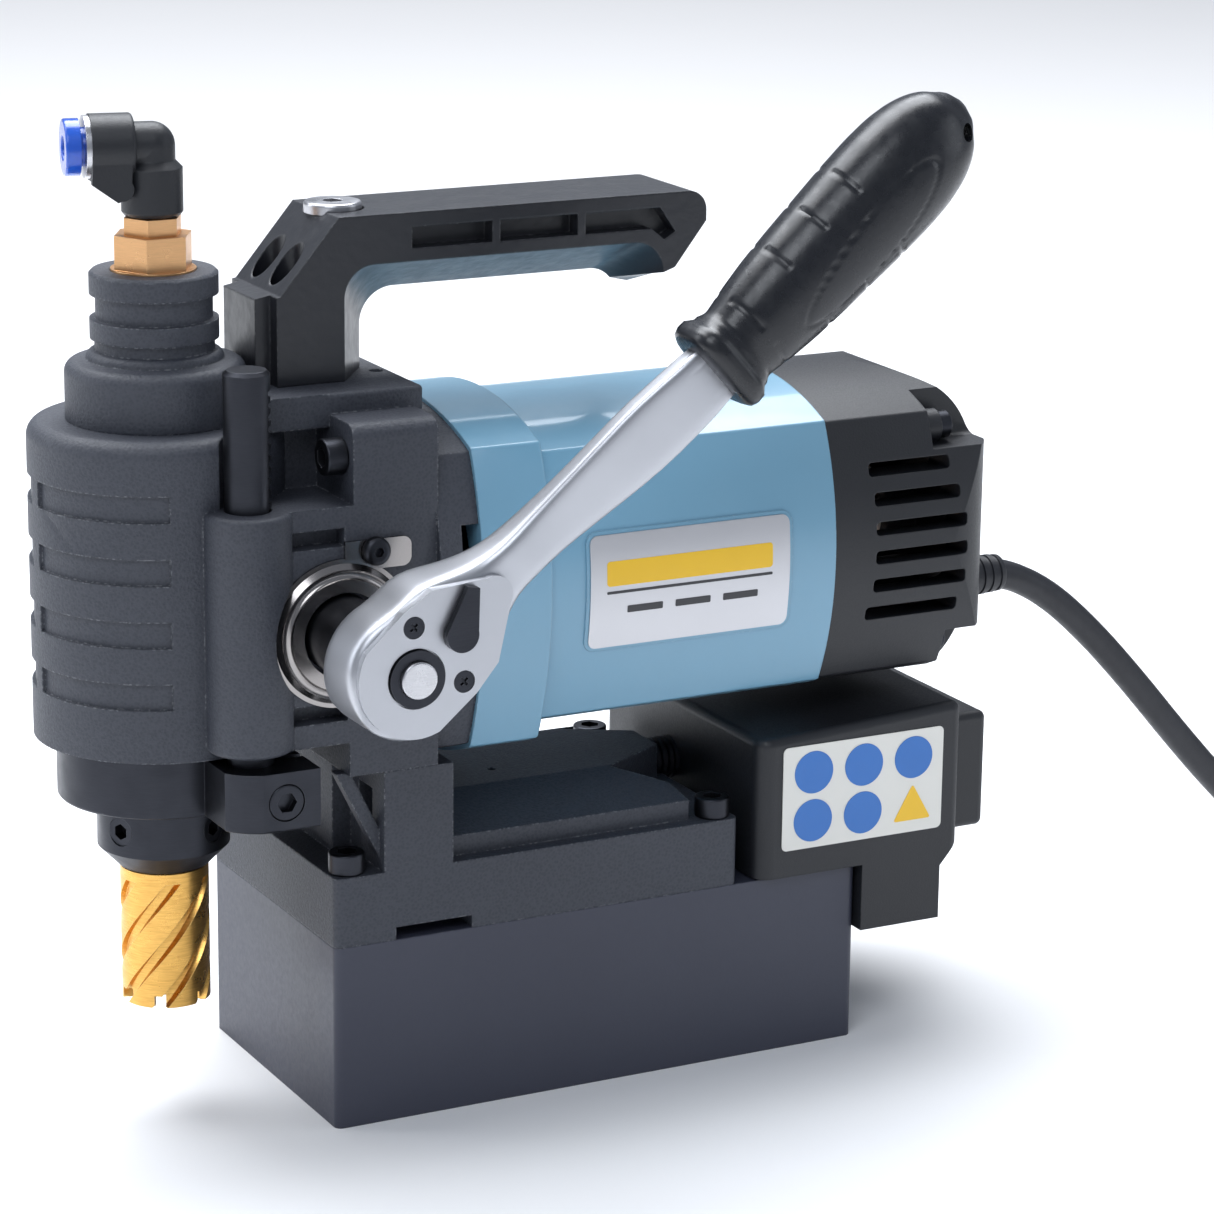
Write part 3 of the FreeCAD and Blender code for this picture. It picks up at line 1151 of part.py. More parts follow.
def make_plug():
    """A two-pin plug that lies on the coil, in line with the turns under it."""
    at = (COIL_CENTRE[0] + COIL_MIDDLE, 0.2 + COIL_LAYERS * dim("cord_diameter").value + PLUG_LIFT)
    start = COIL_CENTRE[1] - 14
    plug = fuse(cylinder(4.4, start - 8, 12, at, "y"), cone(5.2, 8.5, start, 16, at, "y"),
                cylinder(18.0, start + 16, 6, at, "y"), cylinder(19.2, start + 22, 14, at, "y"))
    pins = [cylinder(2.4, start + 34, 21, (at[0] + side * 9.5, at[1]), "y") for side in (-1, 1)]
    node("mains_plug", fuse(plug, *pins))


# ---------------------------------------------------------------- build, test and write

make_magnet()
make_base()
make_casting()
make_top_cover()
make_handle()
make_motor_housing()
make_end_cap()
make_motor_inside()
make_gears()
make_quill()
make_spindle()
make_feed()
make_wrench()
make_coolant()
make_control_box()
make_cord()
doc.recompute()

failed = [item.Label for item in doc.Objects if "Invalid" in item.State or "Error" in item.State]
if failed:
    raise RuntimeError("these objects failed: " + ", ".join(failed))
for name, item in NODES.items():
    shape = item.Shape
    if shape.isNull() or not shape.isValid():
        raise RuntimeError("no valid shape for " + name)
    if not shape.Solids:
        raise RuntimeError("no solid in " + name)
    shape.exportStep("parts/%s.step" % name)
print("%d nodes written" % len(NODES))
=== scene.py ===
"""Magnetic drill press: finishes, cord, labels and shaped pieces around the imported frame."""
import bmesh
import bpy
import json
import math
from mathutils import Matrix, Vector


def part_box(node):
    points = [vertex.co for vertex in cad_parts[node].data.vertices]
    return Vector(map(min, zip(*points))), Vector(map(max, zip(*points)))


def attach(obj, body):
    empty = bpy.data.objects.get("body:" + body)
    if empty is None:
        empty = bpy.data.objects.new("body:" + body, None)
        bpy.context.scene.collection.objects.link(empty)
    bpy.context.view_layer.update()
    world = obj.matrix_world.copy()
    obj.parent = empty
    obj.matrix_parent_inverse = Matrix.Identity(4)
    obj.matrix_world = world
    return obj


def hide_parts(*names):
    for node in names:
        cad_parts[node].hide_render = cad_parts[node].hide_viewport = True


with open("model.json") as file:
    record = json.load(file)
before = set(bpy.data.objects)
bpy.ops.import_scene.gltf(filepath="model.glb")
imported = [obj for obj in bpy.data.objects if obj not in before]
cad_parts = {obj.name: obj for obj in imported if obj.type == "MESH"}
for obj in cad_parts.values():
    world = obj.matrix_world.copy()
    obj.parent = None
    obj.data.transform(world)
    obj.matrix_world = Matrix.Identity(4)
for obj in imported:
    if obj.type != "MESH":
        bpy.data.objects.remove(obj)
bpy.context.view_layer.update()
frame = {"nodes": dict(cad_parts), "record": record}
NODES = frame["nodes"]
MM = 0.001


def deselect():
    bpy.ops.object.select_all(action="DESELECT")


deselect()


# ---------------------------------------------------------------- camera

LENS = 121.12
EYE = Vector((-0.50205, -1.00041, 0.43771))
LOOK = Vector((0.44764, 0.85369, -0.26615)).normalized()
ROLL = math.radians(0.679)


def make_camera():
    data = bpy.data.cameras.new("studio_camera")
    data.lens = LENS
    data.sensor_width = 36.0
    data.clip_start = 0.05
    camera = bpy.data.objects.new("studio_camera", data)
    bpy.context.collection.objects.link(camera)
    level = LOOK.cross(Vector((0, 0, 1))).normalized()
    upright = level.cross(LOOK)
    right = level * math.cos(ROLL) + upright * math.sin(ROLL)
    top = upright * math.cos(ROLL) - level * math.sin(ROLL)
    turn = Matrix((right, top, -LOOK)).transposed().to_4x4()
    camera.matrix_world = Matrix.Translation(EYE) @ turn
    bpy.context.scene.camera = camera


# ---------------------------------------------------------------- finishes

class Finish:
    """One Principled shader whose colour, gloss and relief are built up in layers."""

    def __init__(self, name, colour, roughness, metallic=0.0, **sockets):
        self.material = bpy.data.materials.new(name)
        self.material.use_nodes = True
        self.material.diffuse_color = (*colour, 1.0)
        self.tree = self.material.node_tree
        self.shader = self.tree.nodes["Principled BSDF"]
        self.shader.inputs["Base Color"].default_value = (*colour, 1.0)
        self.shader.inputs["Roughness"].default_value = roughness
        self.shader.inputs["Metallic"].default_value = metallic
        for socket, value in sockets.items():
            self.shader.inputs[socket.replace("_", " ")].default_value = value
        self.place = self.node("TexCoord").outputs["Object"]

    def node(self, kind, **settings):
        made = self.tree.nodes.new("ShaderNode" + kind)
        for name, value in settings.items():
            setattr(made, name, value)
        return made

    def join(self, source, socket):
        self.tree.links.new(source, socket)

    def stretched(self, scale, turn=(0, 0, 0)):
        mapping = self.node("Mapping")
        mapping.inputs["Scale"].default_value = scale
        mapping.inputs["Rotation"].default_value = turn
        self.join(self.place, mapping.inputs["Vector"])
        return mapping.outputs["Vector"]

    def noise(self, scale, detail=4.0, roughness=0.55, along=None):
        made = self.node("TexNoise")
        made.inputs["Scale"].default_value = scale
        made.inputs["Detail"].default_value = detail
        made.inputs["Roughness"].default_value = roughness
        self.join(along or self.place, made.inputs["Vector"])
        return made.outputs["Fac"]

    def cells(self, scale, along=None):
        made = self.node("TexVoronoi")
        made.inputs["Scale"].default_value = scale
        self.join(along or self.place, made.inputs["Vector"])
        return made.outputs["Distance"]

    def levels(self, source, low, high, bottom=0.0, top=1.0):
        """Spread the part of a pattern between low and high over bottom to top."""
        made = self.node("MapRange")
        for socket, value in zip(("From Min", "From Max", "To Min", "To Max"), (low, high, bottom, top)):
            made.inputs[socket].default_value = value
        self.join(source, made.inputs["Value"])
        return made.outputs["Result"]

    def times(self, first, second, operation="MULTIPLY"):
        made = self.node("Math", operation=operation)
        self.join(first, made.inputs[0])
        if isinstance(second, (int, float)):
            made.inputs[1].default_value = second
        else:
            self.join(second, made.inputs[1])
        return made.outputs[0]

    def edges(self, radius, low=0.02, high=0.3):
        """Where the surface turns a corner within the radius."""
        soft = self.node("Bevel", samples=4)
        soft.inputs["Radius"].default_value = radius
        true = self.node("NewGeometry")
        dot = self.node("VectorMath", operation="DOT_PRODUCT")
        self.join(soft.outputs["Normal"], dot.inputs[0])
        self.join(true.outputs["Normal"], dot.inputs[1])
        return self.levels(dot.outputs["Value"], 1.0 - low, 1.0 - high)

    def tint(self, mask, colour):
        """Lay a second colour over the first where the mask is bright."""
        mix = self.node("MixRGB")
        base = self.shader.inputs["Base Color"]
        if base.links:
            self.join(base.links[0].from_socket, mix.inputs["Color1"])
        else:
            mix.inputs["Color1"].default_value = base.default_value
        mix.inputs["Color2"].default_value = (*colour, 1.0)
        self.join(mask, mix.inputs["Fac"])
        self.join(mix.outputs["Color"], base)
        return self

    def vary(self, socket, mask, target):
        """Shift a number of the shader to the target where the mask is bright."""
        goal = self.shader.inputs[socket]
        mix = self.node("Mix")
        mix.inputs["A"].default_value = goal.default_value
        if goal.links:
            self.join(goal.links[0].from_socket, mix.inputs["A"])
        mix.inputs["B"].default_value = target
        self.join(mask, mix.inputs["Factor"])
        self.join(mix.outputs["Result"], goal)
        return self

    def relief(self, height, depth, strength=1.0):
        bump = self.node("Bump")
        bump.inputs["Distance"].default_value = depth
        bump.inputs["Strength"].default_value = strength
        self.join(height, bump.inputs["Height"])
        normal = self.shader.inputs["Normal"]
        if normal.links:
            self.join(normal.links[0].from_socket, bump.inputs["Normal"])
        self.join(bump.outputs["Normal"], normal)
        return self

    def soften(self, radius):
        """Let light run round the edges as over a small radius."""
        bevel = self.node("Bevel", samples=4)
        bevel.inputs["Radius"].default_value = radius
        self.join(bevel.outputs["Normal"], self.shader.inputs["Normal"])
        return self


def wrinkle_paint(name="casting_paint", colour=(0.032, 0.036, 0.048)):
    """Dark textured enamel over a sand casting, rubbed bright in specks along the edges."""
    finish = Finish(name, colour, 0.47)
    finish.soften(0.9 * MM)
    grain = finish.noise(1500, 5, 0.62)
    pits = finish.cells(1050)
    finish.tint(finish.levels(finish.noise(26, 3), 0.35, 0.7, 0.0, 0.5), (0.023, 0.026, 0.036))
    finish.tint(finish.levels(pits, 0.25, 0.6, 0.0, 0.4), (0.058, 0.063, 0.078))
    specks = finish.times(finish.edges(0.8 * MM), finish.levels(finish.noise(900, 3), 0.5, 0.62))
    finish.tint(specks, (0.30, 0.31, 0.33))
    finish.vary("Roughness", finish.levels(grain, 0.3, 0.7), 0.62)
    finish.relief(grain, 0.22 * MM, 0.75)
    return finish.relief(pits, 0.16 * MM, 0.5)


def smooth_enamel():
    """Blue-black semi-gloss enamel over a machined block."""
    finish = Finish("magnet_paint", (0.034, 0.037, 0.058), 0.40)
    finish.soften(0.7 * MM)
    finish.tint(finish.levels(finish.noise(14, 4), 0.35, 0.7, 0.0, 0.6), (0.041, 0.045, 0.067))
    finish.tint(finish.times(finish.edges(0.6 * MM), finish.levels(finish.noise(500, 4), 0.5, 0.65)),
                (0.16, 0.17, 0.19))
    finish.vary("Roughness", finish.levels(finish.noise(700, 4), 0.35, 0.7), 0.48)
    return finish.relief(finish.noise(1400, 3), 0.05 * MM, 0.5)


def motor_enamel():
    """Glossy light steel blue enamel with a faint orange peel and a clear coat."""
    finish = Finish("motor_paint", (0.165, 0.345, 0.475), 0.30, Coat_Weight=0.6, Coat_Roughness=0.08)
    finish.soften(0.7 * MM)
    finish.tint(finish.levels(finish.noise(18, 3), 0.3, 0.75, 0.0, 0.5), (0.150, 0.325, 0.455))
    finish.tint(finish.times(finish.edges(0.5 * MM), finish.levels(finish.noise(620, 3), 0.56, 0.66)),
                (0.42, 0.55, 0.62))
    finish.vary("Roughness", finish.levels(finish.noise(160, 4), 0.4, 0.7), 0.38)
    return finish.relief(finish.noise(420, 2), 0.05 * MM, 0.35)


def moulded_plastic(name="dark_plastic", colour=(0.009, 0.010, 0.013), roughness=0.40, grain=1700):
    """Black moulding with a fine spark-eroded texture."""
    finish = Finish(name, colour, roughness)
    finish.soften(0.5 * MM)
    texture = finish.noise(grain, 3, 0.6)
    finish.tint(finish.levels(finish.noise(30, 3), 0.35, 0.7, 0.0, 0.5), tuple(c * 1.35 for c in colour))
    finish.tint(finish.times(finish.edges(0.4 * MM), finish.levels(finish.noise(700, 3), 0.48, 0.66)),
                tuple(c * 3.0 + 0.02 for c in colour))
    finish.vary("Roughness", finish.levels(texture, 0.35, 0.7), roughness + 0.12)
    return finish.relief(texture, 0.09 * MM, 0.6)


def peel_gloss(name="handle_black"):
    """Glossy black paint whose surface ripples like orange peel."""
    finish = Finish(name, (0.011, 0.012, 0.016), 0.34, Coat_Weight=0.12, Coat_Roughness=0.16)
    finish.soften(0.8 * MM)
    finish.tint(finish.times(finish.edges(0.5 * MM), finish.levels(finish.noise(800, 3), 0.52, 0.64)),
                (0.14, 0.14, 0.15))
    finish.vary("Roughness", finish.levels(finish.noise(220, 4), 0.4, 0.72), 0.42)
    finish.relief(finish.noise(330, 2, 0.4), 0.30 * MM, 0.42)
    return finish.relief(finish.noise(1500, 2), 0.04 * MM, 0.4)


def grip_rubber():
    """Hard satin rubber of the wrench grip."""
    finish = Finish("grip_black", (0.007, 0.008, 0.011), 0.26)
    finish.tint(finish.levels(finish.noise(40, 4), 0.4, 0.7, 0.0, 0.7), (0.010, 0.011, 0.015))
    finish.vary("Roughness", finish.levels(finish.noise(300, 4), 0.4, 0.7), 0.38)
    return finish.relief(finish.noise(900, 3), 0.06 * MM, 0.4)


def satin_chrome(name="satin_chrome", roughness=0.36, colour=(0.47, 0.48, 0.51)):
    """Blasted and chromed steel, with a soft even gloss."""
    finish = Finish(name, colour, roughness, 1.0)
    finish.tint(finish.levels(finish.noise(30, 3), 0.35, 0.7, 0.0, 0.35), tuple(c * 0.9 for c in colour))
    finish.vary("Roughness", finish.levels(finish.noise(2600, 3), 0.3, 0.75), roughness + 0.06)
    return finish.relief(finish.noise(5200, 2), 0.008 * MM, 0.25)


def machined(name, colour, roughness, rings=None, scratch=0.35):
    """Turned or ground metal: fine lines left by the tool, slightly cloudy."""
    finish = Finish(name, colour, roughness, 1.0)
    finish.soften(0.25 * MM)
    lines = finish.noise(260, 3, 0.6, finish.stretched(rings or (1, 1, 26)))
    finish.tint(finish.levels(lines, 0.35, 0.7, 0.0, 0.45), tuple(c * 0.72 for c in colour))
    finish.tint(finish.edges(0.3 * MM), tuple(min(1.0, c * 1.3 + 0.03) for c in colour))
    finish.vary("Roughness", finish.levels(finish.noise(120, 4), 0.35, 0.7), roughness + 0.14)
    return finish.relief(lines, 0.04 * MM, scratch)


def rubber_sheath():
    finish = Finish("cord_rubber", (0.008, 0.009, 0.013), 0.42)
    finish.tint(finish.levels(finish.noise(60, 4), 0.35, 0.7, 0.0, 0.7), (0.013, 0.014, 0.020))
    finish.vary("Roughness", finish.levels(finish.noise(400, 3), 0.35, 0.7), 0.55)
    return finish.relief(finish.noise(1600, 3), 0.05 * MM, 0.5)


def clear_blue():
    """Glossy blue moulding of the push-in collar."""
    finish = Finish("collet_blue", (0.012, 0.085, 0.55), 0.18, Transmission_Weight=0.15, Coat_Weight=0.5)
    finish.soften(0.4 * MM)
    finish.tint(finish.levels(finish.noise(90, 3), 0.35, 0.7, 0.0, 0.6), (0.02, 0.13, 0.66))
    finish.vary("Roughness", finish.levels(finish.noise(300, 3), 0.4, 0.7), 0.28)
    return finish.relief(finish.noise(700, 2), 0.04 * MM, 0.4)


def glossy_switch(name, colour):
    finish = Finish(name, colour, 0.22)
    finish.soften(0.4 * MM)
    finish.tint(finish.levels(finish.noise(120, 3), 0.35, 0.7, 0.0, 0.5), tuple(c * 0.75 for c in colour))
    return finish.relief(finish.noise(1500, 2), 0.03 * MM, 0.4)


def gold_coating():
    """Titanium nitride on ground tool steel: gold with brown heat in the hollows."""
    finish = Finish("gold_coating", (0.80, 0.47, 0.13), 0.24, 1.0)
    finish.soften(0.25 * MM)
    lines = finish.noise(210, 3, 0.6, finish.stretched((1, 1, 14), (0.5, 0.0, 0.0)))
    finish.tint(finish.levels(lines, 0.35, 0.7, 0.0, 0.6), (0.52, 0.26, 0.06))
    finish.tint(finish.edges(0.3 * MM), (0.95, 0.68, 0.28))
    finish.vary("Roughness", finish.levels(finish.noise(200, 4), 0.35, 0.7), 0.4)
    return finish.relief(lines, 0.06 * MM, 0.4)


def board_lacquer():
    finish = Finish("board_green", (0.01, 0.10, 0.035), 0.3)
    tracks = finish.node("TexBrick")
    tracks.inputs["Scale"].default_value = 220
    finish.join(finish.place, tracks.inputs["Vector"])
    finish.tint(finish.levels(tracks.outputs["Fac"], 0.0, 1.0, 0.0, 0.6), (0.03, 0.2, 0.07))
    return finish.relief(tracks.outputs["Fac"], 0.05 * MM, 0.5)


def printed_card(name, colour):
    """Satin printed foil."""
    finish = Finish(name, colour, 0.3)
    finish.tint(finish.levels(finish.noise(50, 4), 0.4, 0.75, 0.0, 0.4), tuple(c * 0.92 for c in colour))
    finish.vary("Roughness", finish.levels(finish.noise(300, 3), 0.4, 0.7), 0.4)
    return finish.relief(finish.noise(1200, 2), 0.02 * MM, 0.3)


def make_finishes():
    finishes = {
        "magnet_paint": smooth_enamel(),
        "casting_paint": wrinkle_paint(),
        "motor_paint": motor_enamel(),
        "dark_plastic": moulded_plastic(),
        "handle_black": peel_gloss(),
        "grip_black": grip_rubber(),
        "copper_wire": machined("copper_wire", (0.62, 0.27, 0.12), 0.35, (1, 1, 14)),
        "resin": moulded_plastic("resin", (0.02, 0.02, 0.024), 0.3, 500),
        "black_oxide": machined("black_oxide", (0.042, 0.044, 0.052), 0.34),
        "bright_steel": machined("bright_steel", (0.58, 0.58, 0.60), 0.24),
        "dark_chrome": satin_chrome("dark_chrome", 0.17, (0.33, 0.31, 0.30)),
        "satin_chrome": satin_chrome(),
        "laminated_steel": machined("laminated_steel", (0.35, 0.35, 0.37), 0.4, (30, 1, 1), 0.8),
        "gold_coating": gold_coating(),
        "brass": machined("brass", (0.80, 0.46, 0.22), 0.27),
        "collet_blue": clear_blue(),
        "board_green": board_lacquer(),
        "switch_red": glossy_switch("switch_red", (0.50, 0.02, 0.015)),
        "switch_green": glossy_switch("switch_green", (0.02, 0.30, 0.06)),
        "cord_rubber": rubber_sheath(),
        "cast_aluminium": machined("cast_aluminium", (0.5, 0.5, 0.5), 0.4),
        "card_pale": printed_card("card_pale", (0.74, 0.73, 0.68)),
        "plate_silver": satin_chrome("plate_silver", 0.38, (0.56, 0.56, 0.58)),
        "card_blue": printed_card("card_blue", (0.03, 0.16, 0.50)),
        "card_yellow": printed_card("card_yellow", (0.86, 0.52, 0.02)),
        "card_dark": printed_card("card_dark", (0.03, 0.03, 0.035)),
    }
    return {name: finish.material for name, finish in finishes.items()}


OWN_FINISH = {"dust_cover": "dark_chrome", "dust_cover_screw": "black_oxide"}


def finish_nodes(finishes):
    """Give every CAD node the finish that its slot in the record names."""
    for entry in frame["record"]["subparts"]:
        name = entry["node"]
        finish = finishes[OWN_FINISH.get(name, entry["material_slot"])]
        for slot in NODES[name].material_slots:
            slot.material = finish
        if not NODES[name].material_slots:
            NODES[name].data.materials.append(finish)


# ---------------------------------------------------------------- making and finishing pieces

def active_piece(name):
    piece = bpy.context.view_layer.objects.active
    piece.name = name
    piece.data.name = name
    return piece


def apply_modifier(piece, kind, **settings):
    modifier = piece.modifiers.new(kind.title(), kind)
    for name, value in settings.items():
        setattr(modifier, name, value)
    bpy.context.view_layer.objects.active = piece
    bpy.ops.object.modifier_apply(modifier=modifier.name)


def settle(piece, finish, body, replaced=(), smooth=35):
    """Bake the place into the mesh, set the finish and let the piece ride on its body."""
    deselect()
    piece.select_set(True)
    bpy.context.view_layer.objects.active = piece
    bpy.ops.object.transform_apply(location=True, rotation=True, scale=True)
    if smooth:
        bpy.ops.object.shade_smooth_by_angle(angle=math.radians(smooth))
    piece.data.materials.clear()
    piece.data.materials.append(finish)
    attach(piece, body)
    if replaced:
        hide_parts(*replaced)
    deselect()
    return piece


def pick(piece, wanted, mode="FACE"):
    """In edit mode, select the faces, edges or vertices that wanted() accepts."""
    bpy.ops.mesh.select_mode(type=mode)
    bpy.ops.mesh.select_all(action="DESELECT")
    mesh = bmesh.from_edit_mesh(piece.data)
    items = {"FACE": mesh.faces, "EDGE": mesh.edges, "VERT": mesh.verts}[mode]
    for item in items:
        if wanted(item):
            item.select_set(True)
    mesh.select_flush_mode()
    bmesh.update_edit_mesh(piece.data)


# ---------------------------------------------------------------- mains cord

CORD_ROUTE = [(149.2, -12, 125), (165, -12, 117), (181.5, -12.2, 102.5), (198, -12.5, 85), (214, -13, 66.6),
              (231, -13.4, 48.2), (249, -14, 31), (271, -14.6, 16), (297, -15.5, 7.4),
              (323, -17.3, 4.7), (347, -19, 4.6)]
CORD_DIAMETER = 8.8
COIL_CENTRE = (358, 42)
COIL_MIDDLE = 48.4
COIL_TURNS_WIDE = 4
COIL_LAYERS = 2
POINTS_PER_TURN = 16
LEAD_TO_PLUG = [(4, -62, 22.5), (23, -60, 24.5), (38, -48, 30), (46, -33, 35.8), (48.4, -20, 37.1),
                (48.4, -8, 37.1)]


def coil_points():
    """Turns beside and on each other, a cord's width apart, wound inward and then outward."""
    outer = COIL_MIDDLE + (COIL_TURNS_WIDE - 1) * CORD_DIAMETER / 2
    spread = 2.0 / (1.0 + math.cos(math.pi / POINTS_PER_TURN) ** 2)
    points = []
    for layer in range(COIL_LAYERS):
        height = 4.6 + layer * CORD_DIAMETER
        for turn in range(COIL_TURNS_WIDE):
            step = turn if layer % 2 == 0 else COIL_TURNS_WIDE - 1 - turn
            following = min(step + 1, COIL_TURNS_WIDE - 1) if layer % 2 == 0 else max(step - 1, 0)
            climbs = turn == COIL_TURNS_WIDE - 1
            for index in range(POINTS_PER_TURN):
                share = max(0.0, (index - POINTS_PER_TURN + 4) / 4.0)
                lift = share * CORD_DIAMETER if climbs else 0.0
                radius = outer - (step + (following - step) * share) * CORD_DIAMETER
                angle = math.radians(-90) + 2 * math.pi * index / POINTS_PER_TURN
                points.append((COIL_CENTRE[0] + radius * spread * math.cos(angle),
                               COIL_CENTRE[1] + radius * spread * math.sin(angle), height + lift))
    return points + [(COIL_CENTRE[0] + across, COIL_CENTRE[1] + along, up)
                     for across, along, up in LEAD_TO_PLUG]


def make_cord(finishes):
    curve = bpy.data.curves.new("mains_cord_line", "CURVE")
    curve.dimensions = "3D"
    curve.bevel_depth = CORD_DIAMETER / 2 * MM
    curve.bevel_resolution = 5
    curve.resolution_u = 6
    curve.use_fill_caps = True
    points = [(123, -12, 125), (138, -12, 125)] + CORD_ROUTE[:-1] + coil_points()
    spline = curve.splines.new("NURBS")
    spline.points.add(len(points) - 1)
    for spot, point in zip(spline.points, points):
        spot.co = (point[0] * MM, point[1] * MM, point[2] * MM, 1.0)
    spline.order_u = 3
    spline.use_endpoint_u = True
    cord = bpy.data.objects.new("mains_cord_line", curve)
    bpy.context.collection.objects.link(cord)
    curve.materials.append(finishes["cord_rubber"])
    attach(cord, "machine")
    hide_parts("mains_cord", "cord_coil")
    return cord


# ---------------------------------------------------------------- feed wrench

WRENCH_AXIS = Vector((-80.0, 0.0, 141.6)) * MM
WRENCH_ANGLE = math.radians(41.6)
GRIP_OFFSET = -94.5


def drawn_ring(sides, half_wide, half_deep, squareness):
    """Points round a section, between an ellipse (2) and a rectangle (large)."""
    points = []
    for index in range(sides):
        angle = 2 * math.pi * (index + 0.5) / sides
        c, s = math.cos(angle), math.sin(angle)
        points.append((math.copysign(abs(c) ** (2 / squareness), c) * half_wide,
                       math.copysign(abs(s) ** (2 / squareness), s) * half_deep))
    return points


def drawn_bar(name, stations, sides=48):
    """A bar extruded station by station: (along, across centre, half wide, half deep, squareness)."""
    along, centre, wide, deep, squareness = stations[0]
    bpy.ops.mesh.primitive_circle_add(vertices=sides, radius=MM, fill_type="NGON")
    piece = active_piece(name)
    bpy.ops.object.mode_set(mode="EDIT")
    mesh = bmesh.from_edit_mesh(piece.data)
    face = mesh.faces[:][0]
    for number, (along, centre, wide, deep, squareness) in enumerate(stations):
        if number:
            made = bmesh.ops.extrude_discrete_faces(mesh, faces=[face])
            face = made["faces"][0]
        for vert, (w, d) in zip(face.verts, drawn_ring(sides, wide, deep, squareness)):
            vert.co = Vector((along, centre + d, w)) * MM
    bmesh.update_edit_mesh(piece.data)
    bpy.ops.object.mode_set(mode="OBJECT")
    return piece


def close_start(piece):
    """Cap the open first section and make the skin face outward."""
    bpy.ops.object.mode_set(mode="EDIT")
    bpy.ops.mesh.select_mode(type="VERT")
    bpy.ops.mesh.select_all(action="SELECT")
    bpy.ops.mesh.remove_doubles(threshold=0.00001)
    bpy.ops.mesh.select_all(action="DESELECT")
    bpy.ops.mesh.select_non_manifold()
    bpy.ops.mesh.edge_face_add()
    bpy.ops.mesh.select_all(action="SELECT")
    bpy.ops.mesh.normals_make_consistent(inside=False)
    bpy.ops.object.mode_set(mode="OBJECT")


def onto_wrench(piece):
    piece.rotation_euler = (0, -WRENCH_ANGLE, 0)
    piece.location = WRENCH_AXIS
    return piece


def carve(piece, radius, start, end, spot):
    """Bore a round hole along Y through a piece drawn along +X."""
    bpy.ops.mesh.primitive_cylinder_add(vertices=48, radius=radius * MM, depth=abs(end - start) * MM,
                                        location=(spot[0] * MM, (start + end) / 2 * MM, spot[1] * MM),
                                        rotation=(math.radians(90), 0, 0))
    tool = bpy.context.view_layer.objects.active
    apply_modifier(piece, "BOOLEAN", operation="DIFFERENCE", object=tool, solver="EXACT")
    bpy.data.objects.remove(tool)


def eased(pairs, x):
    """A smooth value through (x, value) pairs."""
    for (x0, v0), (x1, v1) in zip(pairs, pairs[1:]):
        if x <= x1:
            t = max(0.0, (x - x0) / (x1 - x0))
            return v0 + (v1 - v0) * t * t * (3 - 2 * t)
    return pairs[-1][1]


def make_wrench_body(finishes):
    """Forged ratchet head that flows through a waist into the cranked flat shank."""
    head = 17.8
    waist = [(9, 17.3), (15, 16.3), (20, 14.6), (25, 11.8), (30, 9.2), (35, 7.5), (41, 6.9), (50, 7.0),
             (62, 7.8), (78, 9.2), (90, 9.8), (104, 9.0), (118, 8.2)]
    centre = [(18, -80), (30, -81.4), (45, -84.6), (62, -88.0), (85, -92.0), (104, -94.2),
              (118, GRIP_OFFSET)]
    depth = [(16, 10), (28, 8.4), (38, 6.4), (50, 4.9), (66, 4.0), (90, 3.6), (118, 3.8)]
    stations = []
    for angle in (176, 168, 158, 147, 135, 122, 108, 94, 80, 66):
        along = head * math.cos(math.radians(angle))
        stations.append((along, -80, head * math.sin(math.radians(angle)), 10, 7))
    for along, wide in waist[1:]:
        squareness = eased([(15, 7), (30, 4.5), (60, 5.0), (118, 5.5)], along)
        stations.append((along, eased(centre, along), wide, eased(depth, along), squareness))
    body = drawn_bar("wrench_forging", stations, 64)
    close_start(body)
    apply_modifier(body, "SUBSURF", levels=1, render_levels=1)
    carve(body, 11.6, -70.9, -88.5, (0, 0))
    carve(body, 9.2, -68, -72, (0, 0))
    settle(onto_wrench(body), finishes["satin_chrome"], "wrench", ["wrench_body"], 40)


def grip_relief(along, turn):
    """Depth of the outlines sunk into the grip: finger lines on its edges and a long oval on each face."""
    depth = 0.0
    for line, low, high in ((126, 15, 75), (142, 42, 82), (156, 42, 82), (169, 42, 82)):
        side = min(abs(turn), 180 - abs(turn))
        if low < side < high:
            depth = max(depth, math.exp(-((along - line) / 0.55) ** 2) * 0.45)
    face = turn if abs(turn) < 90 else math.copysign(180 - abs(turn), turn)
    lean = face + 14 - (along - 163) * 0.55
    share = math.hypot((along - 163) / 27, lean / 30)
    depth = max(depth, math.exp(-((share - 1.0) / 0.035) ** 2) * 0.45)
    return depth


